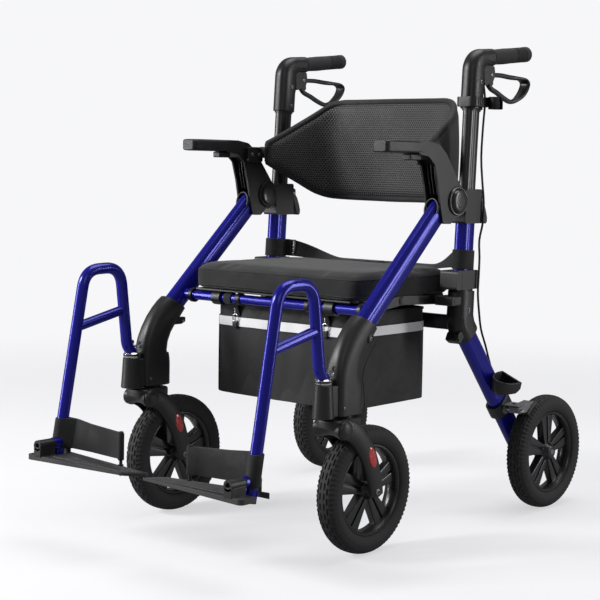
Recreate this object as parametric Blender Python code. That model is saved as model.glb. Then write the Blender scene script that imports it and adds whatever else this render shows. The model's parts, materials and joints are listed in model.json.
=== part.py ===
"""Rollator wheelchair: a folding walking frame on four wheels, with a seat and swing-away footrests.

Metres. The front is -Y, the user's left is +X and +Z is up. The origin is on the floor, midway
between the left and right sides. Each paired piece is drawn on the +X side and mirrored.
"""

import math

import bmesh
import bpy
from mathutils import Matrix, Vector

# Fits
FIT = 0.0003
RUNNING = 0.0004
SIDES = 12

# Widths: the seat sets the spacing of the side frames
SEAT_HALF = 0.2143
FRAME_X = SEAT_HALF + 0.0397
LINK_X = SEAT_HALF + 0.0020
REAR_WHEEL_X = FRAME_X + 0.043
PLATE_HINGE_X = FRAME_X - 0.004

# Wheels
WHEEL_RADIUS = 0.1175
TYRE_WIDTH = 0.045
RIM_RADIUS = 0.083
RIM_WIDTH = 0.032
WHEEL_SEGMENTS = 24
SPOKES = 5
SPOKE_HALF, SPOKE_WEB, SPOKE_GROOVE = 0.0080, 0.0040, 0.0022
HUB_RADIUS = 0.019
AXLE_RADIUS = 0.006
FRONT_AXLE_Y = -0.152
REAR_AXLE_Y = 0.382

# Side frames: everything on one side lies on the plane x = FRAME_X
TUBE_DEEP = 0.046
TUBE_WIDE = 0.030
TUBE_WALL = 0.0022
POST_FOOT = (0.133, 0.403)
POST_LEAN = 0.0623
POST_TOP_Z = 0.664
LEG_SLOPE = -0.7908
LEG_END_Z = 0.112
KNEE_BASE_Z = 0.372
KNEE_WIDE = 0.043
KNEE_DEEP = 0.058

# Hub: the hinge that the front frame folds about
HUB = (0.092, 0.643)
HUB_RADIUS_OUTER = 0.0305
HUB_PIN = 0.006
HUB_CAP = 0.0235
TONGUE_WIDE = 0.016
CLAMP_WALL = 0.0042
CLAMP_PIN = 0.0028
LEVER_NOSE = 0.0050
CLAMP_BASE_Z = 0.5985
CLAMP_TOP_Z = 0.666

# Handles
HANDLE_DEEP = 0.040
HANDLE_WIDE = 0.0245
HANDLE_FOOT_Z = 0.560
SLEEVE_BASE_Z = 0.824
SLEEVE_DEEP = 0.050
SLEEVE_WIDE = 0.037
GRIP_RADIUS = 0.015
GRIP_START = (0.2186, 0.930)
GRIP_END = (0.350, 0.9454)
LEVER_PIVOT = (0.210, 0.894)

# Front frame
FRONT_TUBE_TOP = (0.0579, 0.6274)
FRONT_TUBE_FOOT = (-0.1610, 0.4205)
FRONT_TUBE_DEEP = 0.045
FRONT_TUBE_WIDE = 0.028
ROD = (-0.1300, 0.4400)
ROD_RADIUS = 0.0095
ARM_WIDE = 0.038
ARM_TOP_Z = 0.757

# Casters
SWIVEL_Y = -0.217
STEM_RADIUS = 0.006
FORK_TOP_Z = 2 * WHEEL_RADIUS + 0.023
CASTING_BASE_Z = FORK_TOP_Z + 0.004
CASTING_HALF = 0.0215
CASTING_STATIONS = [
    ((-0.1850, 0.4385), (-0.1360, 0.4085)), ((-0.2100, 0.4180), (-0.1530, 0.3880)),
    ((-0.2360, 0.3800), (-0.1740, 0.3650)), ((-0.2440, 0.3600), (-0.1830, 0.3480)),
    ((-0.2480, 0.3400), (-0.1870, 0.3310)), ((-0.2480, 0.3210), (-0.1845, 0.3140)),
]
FORK_GAP = 0.0250
FORK_ARM = 0.0068

# Footrests
HANGER_Y = -0.269
HANGER_RADIUS = 0.011
HANGER_REAR = ((-0.2810, 0.3470), (-0.3000, 0.5030))
HANGER_FRONT_TOP = (-0.3860, 0.5000)
HANGER_FRONT_FOOT = (-0.4485, 0.1530)
SOCKET_RADIUS = 0.0163
SOCKET_TOP_Z = 0.322
PLATE_HINGE_Z = 0.178
PLATE_FRONT_Y = -0.4985
PLATE_REAR_Y = -0.4270
KNUCKLE_FRONT_Y = -0.4640
KNUCKLE_REAR_Y = -0.4312
PLATE_TOP_Z = 0.1605
PLATE_THICK = 0.011
PLATE_INNER_X = PLATE_HINGE_X - 0.214
PLATE_OUTER_X = PLATE_HINGE_X + 0.031
STRAP_POST = (PLATE_HINGE_X - 0.143, -0.4540)
STRAP_THICK = 0.003
STRAP_DROP = 0.013
STRAP_POST_TOP_Z = 0.2170

# Seat
SEAT_FRONT_Y = -0.143
SEAT_REAR_Y = 0.150
SEAT_TOP_Z = 0.503
SEAT_BASE_Z = 0.4573
PAN_THICK = 0.006
LINK_THICK = 0.0032
LINK_BOSS = (0.100, 0.447)
KNUCKLE = (-0.0126, 0.452)

# Brakes: the pivot is placed from the rear axle, in degrees from +Y and metres from the tread
BRAKE_ANGLE = 138.0
BRAKE_REACH = 0.0300
BRAKE_GAP = 0.0022
BRAKE_PIN = 0.0035
BRAKE_BRACKET_Z = 0.2220

# Cross bar between the knee covers
BAR_FRONT_Y, BAR_REAR_Y = 0.1290, 0.1440
BAR_BASE_Z, BAR_TOP_Z = 0.3860, 0.4150

# Lap belt and walking stick holders
BELT_BASE_Z, BELT_TOP_Z = 0.5075, 0.5460
CLIP_BASE_Z, CLIP_TOP_Z = 0.8245, 0.8490
CUP_BASE_Z, CUP_TOP_Z, CUP_WALL = 0.2535, 0.2950, 0.0028

# Bag
BAG_HALF = 0.185
BAG_FRONT_Y = -0.112
BAG_REAR_Y = 0.108
BAG_BASE_Z = 0.248
BAG_TOP_Z = 0.430
BAG_WALL = 0.004

X, Y, Z = Vector((1, 0, 0)), Vector((0, 1, 0)), Vector((0, 0, 1))
SIDE_NAMES = ("left", "right")
PAINTS = {}


def paint(name, colour, roughness, metallic=0.0):
    """The material of this name, made the first time it is asked for."""
    if name not in PAINTS:
        material = bpy.data.materials.new(name)
        material.use_nodes = True
        shader = material.node_tree.nodes["Principled BSDF"]
        shader.inputs["Base Color"].default_value = (*colour, 1)
        shader.inputs["Roughness"].default_value = roughness
        shader.inputs["Metallic"].default_value = metallic
        material.diffuse_color = (*colour, 1)
        PAINTS[name] = material
    return PAINTS[name]


def blue():
    return paint("blue_lacquer", (0.012, 0.012, 0.30), 0.22)


def black():
    return paint("black_plastic", (0.022, 0.022, 0.023), 0.45)


def casting():
    return paint("black_casting", (0.028, 0.028, 0.028), 0.38)


def rubber():
    return paint("tyre_rubber", (0.020, 0.020, 0.021), 0.75)


def fabric():
    return paint("black_fabric", (0.025, 0.025, 0.026), 0.85)


def steel():
    return paint("grey_steel", (0.20, 0.20, 0.21), 0.35, 1.0)


def oval(centre, wide_axis, deep_axis, wide, deep, count=SIDES):
    """A ring of points round an oval of these full widths."""
    ring = []
    for i in range(count):
        angle = math.tau * (i + 0.5) / count
        across = wide_axis * (math.cos(angle) * wide / 2)
        ring.append(centre + across + deep_axis * (math.sin(angle) * deep / 2))
    return ring


def loft(rings, closed=False):
    """A closed mesh through rings of equal count, capped at both ends or joined end to end."""
    bm = bmesh.new()
    made = [[bm.verts.new(point) for point in ring] for ring in rings]
    count = len(made[0])
    pairs = list(zip(made, made[1:]))
    if closed:
        pairs.append((made[-1], made[0]))
    else:
        bm.faces.new(made[0])
        bm.faces.new(made[-1])
    for first, second in pairs:
        for i in range(count):
            j = (i + 1) % count
            bm.faces.new((first[i], first[j], second[j], second[i]))
    bmesh.ops.recalc_face_normals(bm, faces=bm.faces)
    mesh = bpy.data.meshes.new("shape")
    bm.to_mesh(mesh)
    bm.free()
    if sum(face.normal.dot(face.center) * face.area for face in mesh.polygons) < 0:
        mesh.flip_normals()
    return mesh


def side_point(point, x=FRAME_X):
    """A (y, z) point on the plane of this x."""
    return Vector((x, point[0], point[1]))


def mitre(points, i):
    """The unit direction across a path at point i, in its own plane, stretched at a bend."""
    before = (points[i] - points[max(i - 1, 0)]).normalized()
    after = (points[min(i + 1, len(points) - 1)] - points[i]).normalized()
    before = before if before.length else after
    after = after if after.length else before
    along = (before + after).normalized()
    across = X.cross(along).normalized()
    return across / max(along.dot(before), 0.5)


def sweep(points, wide, deep, count=SIDES):
    """An oval tube along (y, z) points on one plane, wide across it and deep within it."""
    return loft([oval(p, X, mitre(points, i), wide, deep, count) for i, p in enumerate(points)])


def rod(start, end, radius, count=12):
    """A round bar between two points."""
    start, end = Vector(start), Vector(end)
    along = (end - start).normalized()
    side = along.orthogonal().normalized()
    up = along.cross(side)
    return loft([oval(point, side, up, 2 * radius, 2 * radius, count) for point in (start, end)])


def turned(profile, centre, count, closed=False):
    """Revolves (x, radius) points about the X axis through centre."""
    centre = Vector(centre)
    return loft([oval(centre + X * x, Y, Z, 2 * r, 2 * r, count) for x, r in profile], closed)


def turned_z(profile, centre, count, closed=False):
    """Revolves (z, radius) points about the Z axis through centre."""
    centre = Vector(centre)
    return loft([oval(centre + Z * z, X, Y, 2 * r, 2 * r, count) for z, r in profile], closed)


def plate(outline, low, high):
    """A flat plate: a (y, z) outline from x = low to x = high."""
    return loft([[Vector((x, y, z)) for y, z in outline] for x in (low, high)])


def flat_plate(outline, low, high):
    """A level plate: an (x, y) outline from z = low to z = high."""
    return loft([[Vector((x, y, z)) for x, y in outline] for z in (low, high)])


def block(low, high):
    """A box between two corners."""
    outline = [(low[1], low[2]), (high[1], low[2]), (high[1], high[2]), (low[1], high[2])]
    return plate(outline, low[0], high[0])


def rounded(corners, radius, steps=2):
    """The corners of a closed outline, each turned into a short arc."""
    outline = []
    total = len(corners)
    for i, corner in enumerate(corners):
        here = Vector(corner)
        before = Vector(corners[i - 1]) - here
        after = Vector(corners[(i + 1) % total]) - here
        size = radius[i] if isinstance(radius, (list, tuple)) else radius
        if size <= 0:
            outline.append(tuple(here))
            continue
        half = before.angle(after) / 2
        reach = min(size / math.tan(half), before.length * 0.49, after.length * 0.49)
        first, last = here + before.normalized() * reach, here + after.normalized() * reach
        for step in range(steps + 1):
            t = step / steps
            outline.append(tuple(first * (1 - t) ** 2 + here * 2 * t * (1 - t) + last * t ** 2))
    return outline


def bent(points, radius, steps=4):
    """An open path whose inner corners are turned into arcs."""
    path = [points[0]]
    for before, here, after in zip(points, points[1:], points[2:]):
        back, on = before - here, after - here
        reach = min(radius / math.tan(back.angle(on) / 2), back.length * 0.49, on.length * 0.49)
        first, last = here + back.normalized() * reach, here + on.normalized() * reach
        for step in range(steps + 1):
            t = step / steps
            path.append(first * (1 - t) ** 2 + here * 2 * t * (1 - t) + last * t ** 2)
    return path + [points[-1]]


def arc(centre, radius, start_deg, end_deg, steps):
    """(y, z) points round an arc about centre, angles counted from +Y towards +Z."""
    points = []
    for step in range(steps + 1):
        angle = math.radians(start_deg + (end_deg - start_deg) * step / steps)
        points.append((centre[0] + radius * math.cos(angle), centre[1] + radius * math.sin(angle)))
    return points


def about(origin, offsets):
    """(y, z) points given as offsets from an origin."""
    return [(origin[0] + dy, origin[1] + dz) for dy, dz in offsets]


def polar(centre, radius, degrees):
    """The (y, z) point at this radius and angle about centre."""
    return arc(centre, radius, degrees, degrees, 1)[0]


def merged(adds, cuts=()):
    """One mesh: the shapes in adds joined, less the shapes in cuts."""
    helpers = [bpy.data.objects.new("helper", mesh) for mesh in (*adds, *cuts)]
    for helper in helpers:
        bpy.context.scene.collection.objects.link(helper)
    base = helpers[0]
    for i, helper in enumerate(helpers[1:], start=1):
        cut = base.modifiers.new(f"boolean_{i}", "BOOLEAN")
        cut.object = helper
        cut.operation = "UNION" if i < len(adds) else "DIFFERENCE"
        cut.solver = "EXACT"
    bpy.context.view_layer.update()
    graph = bpy.context.evaluated_depsgraph_get()
    mesh = bpy.data.meshes.new_from_object(base.evaluated_get(graph))
    for helper in helpers:
        bpy.data.objects.remove(helper, do_unlink=True)
    return mesh


def piece(name, mesh, at, material):
    """The object of this name, its origin at the point that it turns or slides about."""
    mesh.transform(Matrix.Translation(-Vector(at)))
    mesh.name = name
    mesh.materials.clear()
    mesh.materials.append(material)
    mesh.shade_smooth()
    mesh.set_sharp_from_angle(angle=math.radians(38))
    made = bpy.data.objects.new(name, mesh)
    made.location = at
    bpy.context.scene.collection.objects.link(made)
    return made


def pair(name, mesh, at, material):
    """The +X piece and its mirror image on the other side."""
    other = mesh.copy()
    other.transform(Matrix.Diagonal((-1, 1, 1, 1)))
    other.flip_normals()
    piece(f"{name}_left", mesh, at, material)
    piece(f"{name}_right", other, (-at[0], at[1], at[2]), material)


def around(radius, sides=SIDES):
    """The radius of a faceted bore in which a shaft of this radius turns freely."""
    return (radius + FIT) / math.cos(math.pi / sides)


def post_y(z):
    """The centre of the leaning post at this height."""
    return POST_FOOT[0] + POST_LEAN * (z - POST_FOOT[1])


def leg_y(z):
    """The centre of the lower leg at this height."""
    return POST_FOOT[0] + LEG_SLOPE * (z - POST_FOOT[1])


def post_point(z, x=FRAME_X):
    return Vector((x, post_y(z), z))


def leg_point(z, x=FRAME_X):
    return Vector((x, leg_y(z), z))


def leg_down():
    """The direction down the lower leg."""
    return (leg_point(LEG_END_Z) - leg_point(KNEE_BASE_Z)).normalized()


def leg_run(grow=0.0, top=POST_TOP_Z, foot=LEG_END_Z):
    """The bent post and leg as one oval tube, grown all round by grow."""
    path = bent([post_point(top), side_point(POST_FOOT), leg_point(foot)], 0.05, 3)
    return sweep(path, TUBE_WIDE + 2 * grow, TUBE_DEEP + 2 * grow)


def rear_legs():
    axle = Vector((FRAME_X, REAR_AXLE_Y, WHEEL_RADIUS))
    toe = plate(
        rounded([
            (leg_y(0.150) - 0.014, 0.150), (leg_y(0.150) + 0.026, 0.150),
            (REAR_AXLE_Y + 0.016, WHEEL_RADIUS + 0.010), (REAR_AXLE_Y + 0.010, WHEEL_RADIUS - 0.016),
            (leg_y(0.150) + 0.006, WHEEL_RADIUS - 0.012),
        ], 0.008),
        FRAME_X - 0.0135, FRAME_X + 0.0135,
    )
    reach = REAR_WHEEL_X - FRAME_X + TYRE_WIDTH / 2
    stub = rod(axle, axle + X * reach, AXLE_RADIUS)
    bore = sweep(
        [post_point(POST_FOOT[1] + 0.022), post_point(POST_TOP_Z + 0.02)],
        HANDLE_WIDE + 2 * FIT, HANDLE_DEEP + 2 * FIT,
    )
    mesh = merged([leg_run(), toe, stub], [bore])
    pair("rear_leg", mesh, side_point(POST_FOOT), blue())


def knee_joints():
    """The sleeve round each bend, its collar and the arm that carries the folding rail."""
    low, high = FRAME_X - KNEE_WIDE / 2, FRAME_X + KNEE_WIDE / 2
    path = bent([post_point(0.466), side_point(POST_FOOT), leg_point(0.377)], 0.05, 5)
    cover = sweep(path, KNEE_WIDE, KNEE_DEEP, 16)
    collar = plate(rounded([(0.0790, 0.4690), (0.1640, 0.4690), (0.1655, 0.5065), (0.0790, 0.5065)], 0.004),
                   low + 0.001, high - 0.001)
    neck = sweep([post_point(0.462), post_point(0.472)], 0.036, 0.052)
    arm = block((LINK_X + 0.0092, 0.0850, 0.4380), (high - 0.005, 0.1260, 0.4562))
    boss = rod((LINK_X + 0.0127, *LINK_BOSS), (LINK_X + 0.0042, *LINK_BOSS), 0.0085)
    pin = rod((LINK_X + 0.0102, *LINK_BOSS), (LINK_X - 0.0013, *LINK_BOSS), 0.0035, 8)
    heel = plate(rounded([(0.1045, 0.3690), (0.1200, 0.3600), (0.1300, 0.3720), (0.1140, 0.3870)], 0.005),
                 low + 0.006, high - 0.004)
    knob = rod((high - 0.005, 0.116, 0.377), (high - 0.0175, 0.116, 0.377), 0.0088)
    mesh = merged([cover, collar, neck, arm, boss, pin, heel, knob], [leg_run(FIT)])
    pair("knee_joint", mesh, side_point(POST_FOOT), black())


def hub_clamps():
    half = TUBE_WIDE / 2 + CLAMP_WALL
    middle = (CLAMP_BASE_Z + CLAMP_TOP_Z) / 2
    front = post_y(middle) - TUBE_DEEP / 2 - CLAMP_WALL
    rear = post_y(middle) + TUBE_DEEP / 2 + CLAMP_WALL
    shell = plate(
        rounded([(front, CLAMP_BASE_Z), (rear, CLAMP_BASE_Z), (rear, CLAMP_TOP_Z), (front, CLAMP_TOP_Z)],
                0.004), FRAME_X - half, FRAME_X + half,
    )
    tongue_half = TONGUE_WIDE / 2
    disc = turned([(-tongue_half, HUB_RADIUS_OUTER - 0.001), (tongue_half, HUB_RADIUS_OUTER - 0.001)],
                  side_point(HUB), 16)
    web = block((FRAME_X - tongue_half, HUB[0] + 0.006, HUB[1] - 0.024),
                (FRAME_X + tongue_half, front + 0.003, HUB[1] + 0.020))
    ears = [
        plate(rounded([(rear - 0.002, 0.632), (rear + 0.010, 0.634), (rear + 0.010, 0.654),
                       (rear - 0.002, 0.658)], 0.003), FRAME_X + at - 0.002, FRAME_X + at + 0.002)
        for at in (-0.0140, 0.0140)
    ]
    pivot = clamp_pivot()
    pin = rod(pivot - X * 0.0150, pivot + X * 0.0150, CLAMP_PIN, 8)
    room = around(HUB_RADIUS_OUTER, 16)
    relief = [
        turned([(start, room), (end, room)], side_point(HUB), 16)
        for start, end in ((-0.05, -tongue_half), (tongue_half, 0.05))
    ]
    bore = turned([(-0.05, around(HUB_PIN)), (0.05, around(HUB_PIN))], side_point(HUB), SIDES)
    mesh = merged([shell, web, disc, *ears, pin], [*relief, bore, leg_run(FIT, CLAMP_TOP_Z + 0.02)])
    pair("hub_clamp", mesh, side_point(HUB), casting())


def clamp_pivot():
    """The clamp lever's pin, behind the clamp."""
    middle = (CLAMP_BASE_Z + CLAMP_TOP_Z) / 2
    return Vector((FRAME_X, post_y(middle) + TUBE_DEEP / 2 + CLAMP_WALL + 0.0055, 0.6445))


def clamp_levers():
    """Each clamp's lever: a nose round the pin and a tail that curls down and out."""
    pivot = clamp_pivot()
    centre = (pivot.y, pivot.z)
    tail = about(centre, [
        (0.0050, -0.0160), (0.0090, -0.0290), (0.0130, -0.0420), (0.0160, -0.0465), (0.0215, -0.0475),
        (0.0252, -0.0440), (0.0255, -0.0360), (0.0220, -0.0240), (0.0160, -0.0100), (0.0090, -0.0010),
    ])
    body = plate([*arc(centre, LEVER_NOSE, 40, 250, 7), *tail], FRAME_X - 0.0112, FRAME_X + 0.0112)
    bore = rod(pivot - X * 0.03, pivot + X * 0.03, around(CLAMP_PIN, 8), 8)
    pair("clamp_lever", merged([body], [bore]), pivot, black())


def handle_tubes():
    foot, top = post_point(HANDLE_FOOT_Z), post_point(SLEEVE_BASE_Z + 0.075)
    outer = sweep([foot, top], HANDLE_WIDE, HANDLE_DEEP)
    inner = sweep([foot - Z * 0.01, top - Z * 0.02],
                  HANDLE_WIDE - 2 * TUBE_WALL, HANDLE_DEEP - 2 * TUBE_WALL)
    pair("handle_tube", merged([outer], [inner]), post_point(POST_TOP_Z), black())


def sleeve_path():
    """The centre line of the moulded elbow that turns the handle back into the grip."""
    rise = (GRIP_END[1] - GRIP_START[1]) / (GRIP_END[0] - GRIP_START[0])
    corner_z = (GRIP_START[1] + rise * (post_y(0) - GRIP_START[0])) / (1 - rise * POST_LEAN)
    return bent([post_point(SLEEVE_BASE_Z), post_point(corner_z), side_point(GRIP_START)], 0.030, 4)


def handle_sleeves():
    path = sleeve_path()
    rings = []
    for i, point in enumerate(path):
        share = i / (len(path) - 1)
        deep = SLEEVE_DEEP * (1 - share) + 0.036 * share
        wide = SLEEVE_WIDE * (1 - share) + 0.034 * share
        rings.append(oval(point, X, mitre(path, i), wide, deep))
    elbow = loft(rings)
    bracket = plate(rounded([
        (0.190, 0.912), (0.219, 0.913), (0.222, 0.894), (0.216, 0.882), (0.190, 0.872),
    ], 0.005), FRAME_X - 0.0125, FRAME_X + 0.0125)
    slot = block((FRAME_X - 0.0064, 0.1925, 0.860), (FRAME_X + 0.0064, 0.240, 0.9105))
    pin = rod(side_point(LEVER_PIVOT, FRAME_X - 0.011), side_point(LEVER_PIVOT, FRAME_X + 0.011), 0.003, 8)
    bore = sweep([post_point(SLEEVE_BASE_Z - 0.02), post_point(SLEEVE_BASE_Z + 0.0755)],
                 HANDLE_WIDE + 2 * FIT, HANDLE_DEEP + 2 * FIT)
    body = merged([elbow, bracket], [slot, bore])
    pair("handle_sleeve", merged([body, pin]), post_point(POST_TOP_Z), black())


def grips():
    start, end = side_point(GRIP_START), side_point(GRIP_END)
    along = (end - start).normalized()
    start += along * FIT
    length = (end - start).length
    rings = []
    for at, radius in ((0.0, 0.0165), (0.006, 0.0168), (0.010, GRIP_RADIUS), (0.045, GRIP_RADIUS + 0.001),
                       (length - 0.030, GRIP_RADIUS), (length - 0.006, GRIP_RADIUS + 0.0008),
                       (length, GRIP_RADIUS - 0.003)):
        centre = start + along * at
        rings.append(oval(centre, X, X.cross(along), 2 * radius, 2 * radius * 1.02))
    pair("grip", loft(rings), start, rubber())


def brake_levers():
    pivot = side_point(LEVER_PIVOT)
    outline = rounded(about(LEVER_PIVOT, [
        (-0.0055, -0.0030), (-0.0030, 0.0060), (0.0790, 0.0065), (0.1230, 0.0020), (0.1430, -0.0085),
        (0.1390, -0.0170), (0.0860, -0.0540), (0.0740, -0.0540), (0.0430, -0.0420), (0.0020, -0.0300),
    ]), 0.004)
    hole = rounded(about(LEVER_PIVOT, [
        (0.0140, -0.0050), (0.0800, -0.0015), (0.1140, -0.0085), (0.0790, -0.0410), (0.0460, -0.0320),
        (0.0150, -0.0220),
    ]), 0.006)
    body = plate(outline, FRAME_X - 0.0058, FRAME_X + 0.0058)
    window = plate(hole, FRAME_X - 0.02, FRAME_X + 0.02)
    bore = rod(pivot - X * 0.02, pivot + X * 0.02, around(0.003, 8), 8)
    pair("brake_lever", merged([body], [window, bore]), pivot, black())


def cane_clip():
    """The open spring clip on the left handle that holds the top of a walking stick."""
    middle = (CLIP_BASE_Z + CLIP_TOP_Z) / 2
    y, half_x, half_y = post_y(middle), 0.0265, 0.0325
    corners = [(-half_x, -half_y), (half_x, -half_y), (half_x, half_y), (-half_x, half_y)]
    plan = rounded(about((FRAME_X, y), corners), 0.018, 3)
    band = flat_plate(plan, CLIP_BASE_Z + 0.002, CLIP_TOP_Z - 0.002)
    x, rear = FRAME_X + 0.0365, y + 0.030
    hook = turned_z([(CLIP_BASE_Z, 0.0145), (CLIP_TOP_Z, 0.0145)], (x, rear, 0), 16)
    hole = turned_z([(CLIP_BASE_Z - 0.01, 0.0108), (CLIP_TOP_Z + 0.01, 0.0108)], (x, rear, 0), 16)
    mouth = block((x, rear - 0.006, CLIP_BASE_Z - 0.01), (x + 0.0235, rear + 0.006, CLIP_TOP_Z + 0.01))
    room = sweep([post_point(CLIP_BASE_Z - 0.02), post_point(CLIP_TOP_Z + 0.035)],
                 SLEEVE_WIDE + 2 * FIT, SLEEVE_DEEP + 2 * FIT)
    piece("cane_clip", merged([band, hook], [hole, mouth, room]), post_point(middle), black())


def rear_cross_bar():
    inner = FRAME_X - KNEE_WIDE / 2 - FIT
    outline = [(BAR_FRONT_Y, BAR_BASE_Z), (BAR_REAR_Y, BAR_BASE_Z), (BAR_REAR_Y, BAR_TOP_Z),
               (BAR_FRONT_Y, BAR_TOP_Z)]
    piece("rear_cross_bar", plate(rounded(outline, 0.004), -inner, inner),
          (0, (BAR_FRONT_Y + BAR_REAR_Y) / 2, (BAR_BASE_Z + BAR_TOP_Z) / 2), black())


def front_tubes():
    """Both oval tubes of the front frame and the round rod welded between them."""
    shapes = []
    for side in (1, -1):
        ends = [side_point(FRONT_TUBE_TOP, side * FRAME_X), side_point(FRONT_TUBE_FOOT, side * FRAME_X)]
        shapes.append(sweep(ends, FRONT_TUBE_WIDE, FRONT_TUBE_DEEP))
    bar = rod(side_point(ROD, -FRAME_X), side_point(ROD, FRAME_X), ROD_RADIUS, 12)
    piece("front_tubes", merged([bar, *shapes]), (0, *HUB), blue())


def front_tube_cutter(grow, beyond=0.0):
    """The space that one front tube takes, lengthened past its lower end by beyond."""
    top, foot = side_point(FRONT_TUBE_TOP), side_point(FRONT_TUBE_FOOT)
    along = (top - foot).normalized()
    return sweep([top + along * grow, foot - along * (grow + beyond)],
                 FRONT_TUBE_WIDE + 2 * grow, FRONT_TUBE_DEEP + 2 * grow)


def armrests():
    half = ARM_WIDE / 2
    pad_low = ARM_TOP_Z - 0.026
    outline = [
        (-0.1290, pad_low + 0.003), (-0.1330, ARM_TOP_Z - 0.010), (-0.1270, ARM_TOP_Z - 0.002),
        (-0.1150, ARM_TOP_Z), (0.0000, ARM_TOP_Z), (0.0360, ARM_TOP_Z - 0.008), (0.0580, 0.7330),
        *arc(HUB, HUB_RADIUS_OUTER, 66, -95, 9),
        (0.0760, 0.6030), (0.0500, 0.5990), (0.0400, 0.6300), (0.0310, 0.6750), (0.0180, 0.7120),
        (0.0020, 0.7260), (-0.0200, pad_low),
    ]
    body = plate(outline, FRAME_X - half, FRAME_X + half)
    room = around(HUB_RADIUS_OUTER, 16)
    slot_half = TONGUE_WIDE / 2 + FIT
    slot = turned([(-slot_half, room), (slot_half, room)], side_point(HUB), 16)
    web_room = block((FRAME_X - slot_half, HUB[0], HUB[1] - 0.045),
                     (FRAME_X + slot_half, 0.15, HUB[1] + 0.021))
    bore = turned([(-0.05, around(HUB_PIN)), (0.05, around(HUB_PIN))], side_point(HUB), SIDES)
    pocket = plate([(-0.004, 0.7215), (0.0220, 0.7215), (0.0420, 0.7020), (0.0520, 0.6700),
                    (0.0560, 0.6350), (0.0500, 0.5900), (0.0200, 0.5900), (0.0080, 0.6900)],
                   FRAME_X - half + 0.0042, FRAME_X + half - 0.0042)
    hollow = merged([body], [pocket])
    ribs = [
        plate([(0.0300, 0.7225), (0.0440, 0.7050), (0.0530, 0.6700), (0.0560, 0.6480), (0.0430, 0.6560),
               (0.0330, 0.6900)], FRAME_X + at - 0.0009, FRAME_X + at + 0.0009)
        for at in (-0.0080, 0.0, 0.0080)
    ]
    bracket = plate(rounded([(0.022, 0.712), (0.066, 0.712), (0.066, 0.744), (0.022, 0.744)], 0.005),
                    FRAME_X - half - 0.0105, FRAME_X - half + 0.004)
    mesh = merged([hollow, *ribs, bracket], [slot, web_room, bore, front_tube_cutter(FIT, 0.1)])
    pair("armrest", mesh, side_point(HUB), black())


def hub_bolts():
    """The hinge bolt of each hub between its two caps, the outer one ringed by a groove."""
    half = ARM_WIDE / 2 + FIT
    profile = [
        (-half - 0.0075, 0.0150), (-half - 0.0050, 0.0230), (-half, HUB_CAP), (-half, HUB_PIN),
        (half, HUB_PIN), (half, HUB_CAP), (half + 0.0044, 0.0222), (half + 0.0034, 0.0198),
        (half + 0.0058, 0.0180), (half + 0.0074, 0.0100),
    ]
    pair("hub_bolt", turned(profile, side_point(HUB), SIDES), side_point(HUB), black())


def leg_castings():
    """The curved casting from each front tube down to its caster, with the footrest's socket."""
    rings = []
    for front, rear in CASTING_STATIONS:
        start, end = side_point(front), side_point(rear)
        rings.append(oval((start + end) / 2, X, (end - start).normalized(), 2 * CASTING_HALF,
                          (end - start).length, 16))
    neck = loft(rings)
    foot = plate(rounded([
        (-0.2620, CASTING_BASE_Z), (-0.1795, CASTING_BASE_Z), (-0.1815, 0.3080), (-0.1860, 0.3300),
        (-0.2480, 0.3300), (-0.2480, 0.3205), (-0.2620, 0.3205),
    ], [0.003, 0.006, 0.004, 0, 0, 0, 0.002]), FRAME_X - CASTING_HALF, FRAME_X + CASTING_HALF)
    socket = turned_z([(CASTING_BASE_Z, SOCKET_RADIUS), (SOCKET_TOP_Z, SOCKET_RADIUS)],
                      (FRAME_X, HANGER_Y, 0), 12)
    below, tube, pin = CASTING_BASE_Z - 0.02, around(HANGER_RADIUS), around(STEM_RADIUS)
    bore = turned_z([(below, tube), (SOCKET_TOP_Z + 0.02, tube)], (FRAME_X, HANGER_Y, 0), 12)
    stem = turned_z([(below, pin), (CASTING_BASE_Z + 0.045, pin)], (FRAME_X, SWIVEL_Y, 0), 12)
    latch_room = block((FRAME_X - 0.0162, -0.1800, 0.3802), (FRAME_X - 0.0038, -0.1200, 0.3948))
    mesh = merged([neck, foot, socket], [bore, stem, latch_room, front_tube_cutter(FIT)])
    pair("leg_casting", mesh, (FRAME_X, SWIVEL_Y, CASTING_BASE_Z), casting())


def footrest_latches():
    low, high = FRAME_X - 0.0162 + RUNNING, FRAME_X - 0.0038 - RUNNING
    outline = rounded([(-0.1738, 0.3806), (-0.1500, 0.3806), (-0.1400, 0.3850), (-0.1400, 0.3944),
                       (-0.1738, 0.3944)], 0.0012)
    pair("footrest_latch", plate(outline, low, high), (FRAME_X - 0.01, -0.157, 0.3875), steel())


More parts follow.
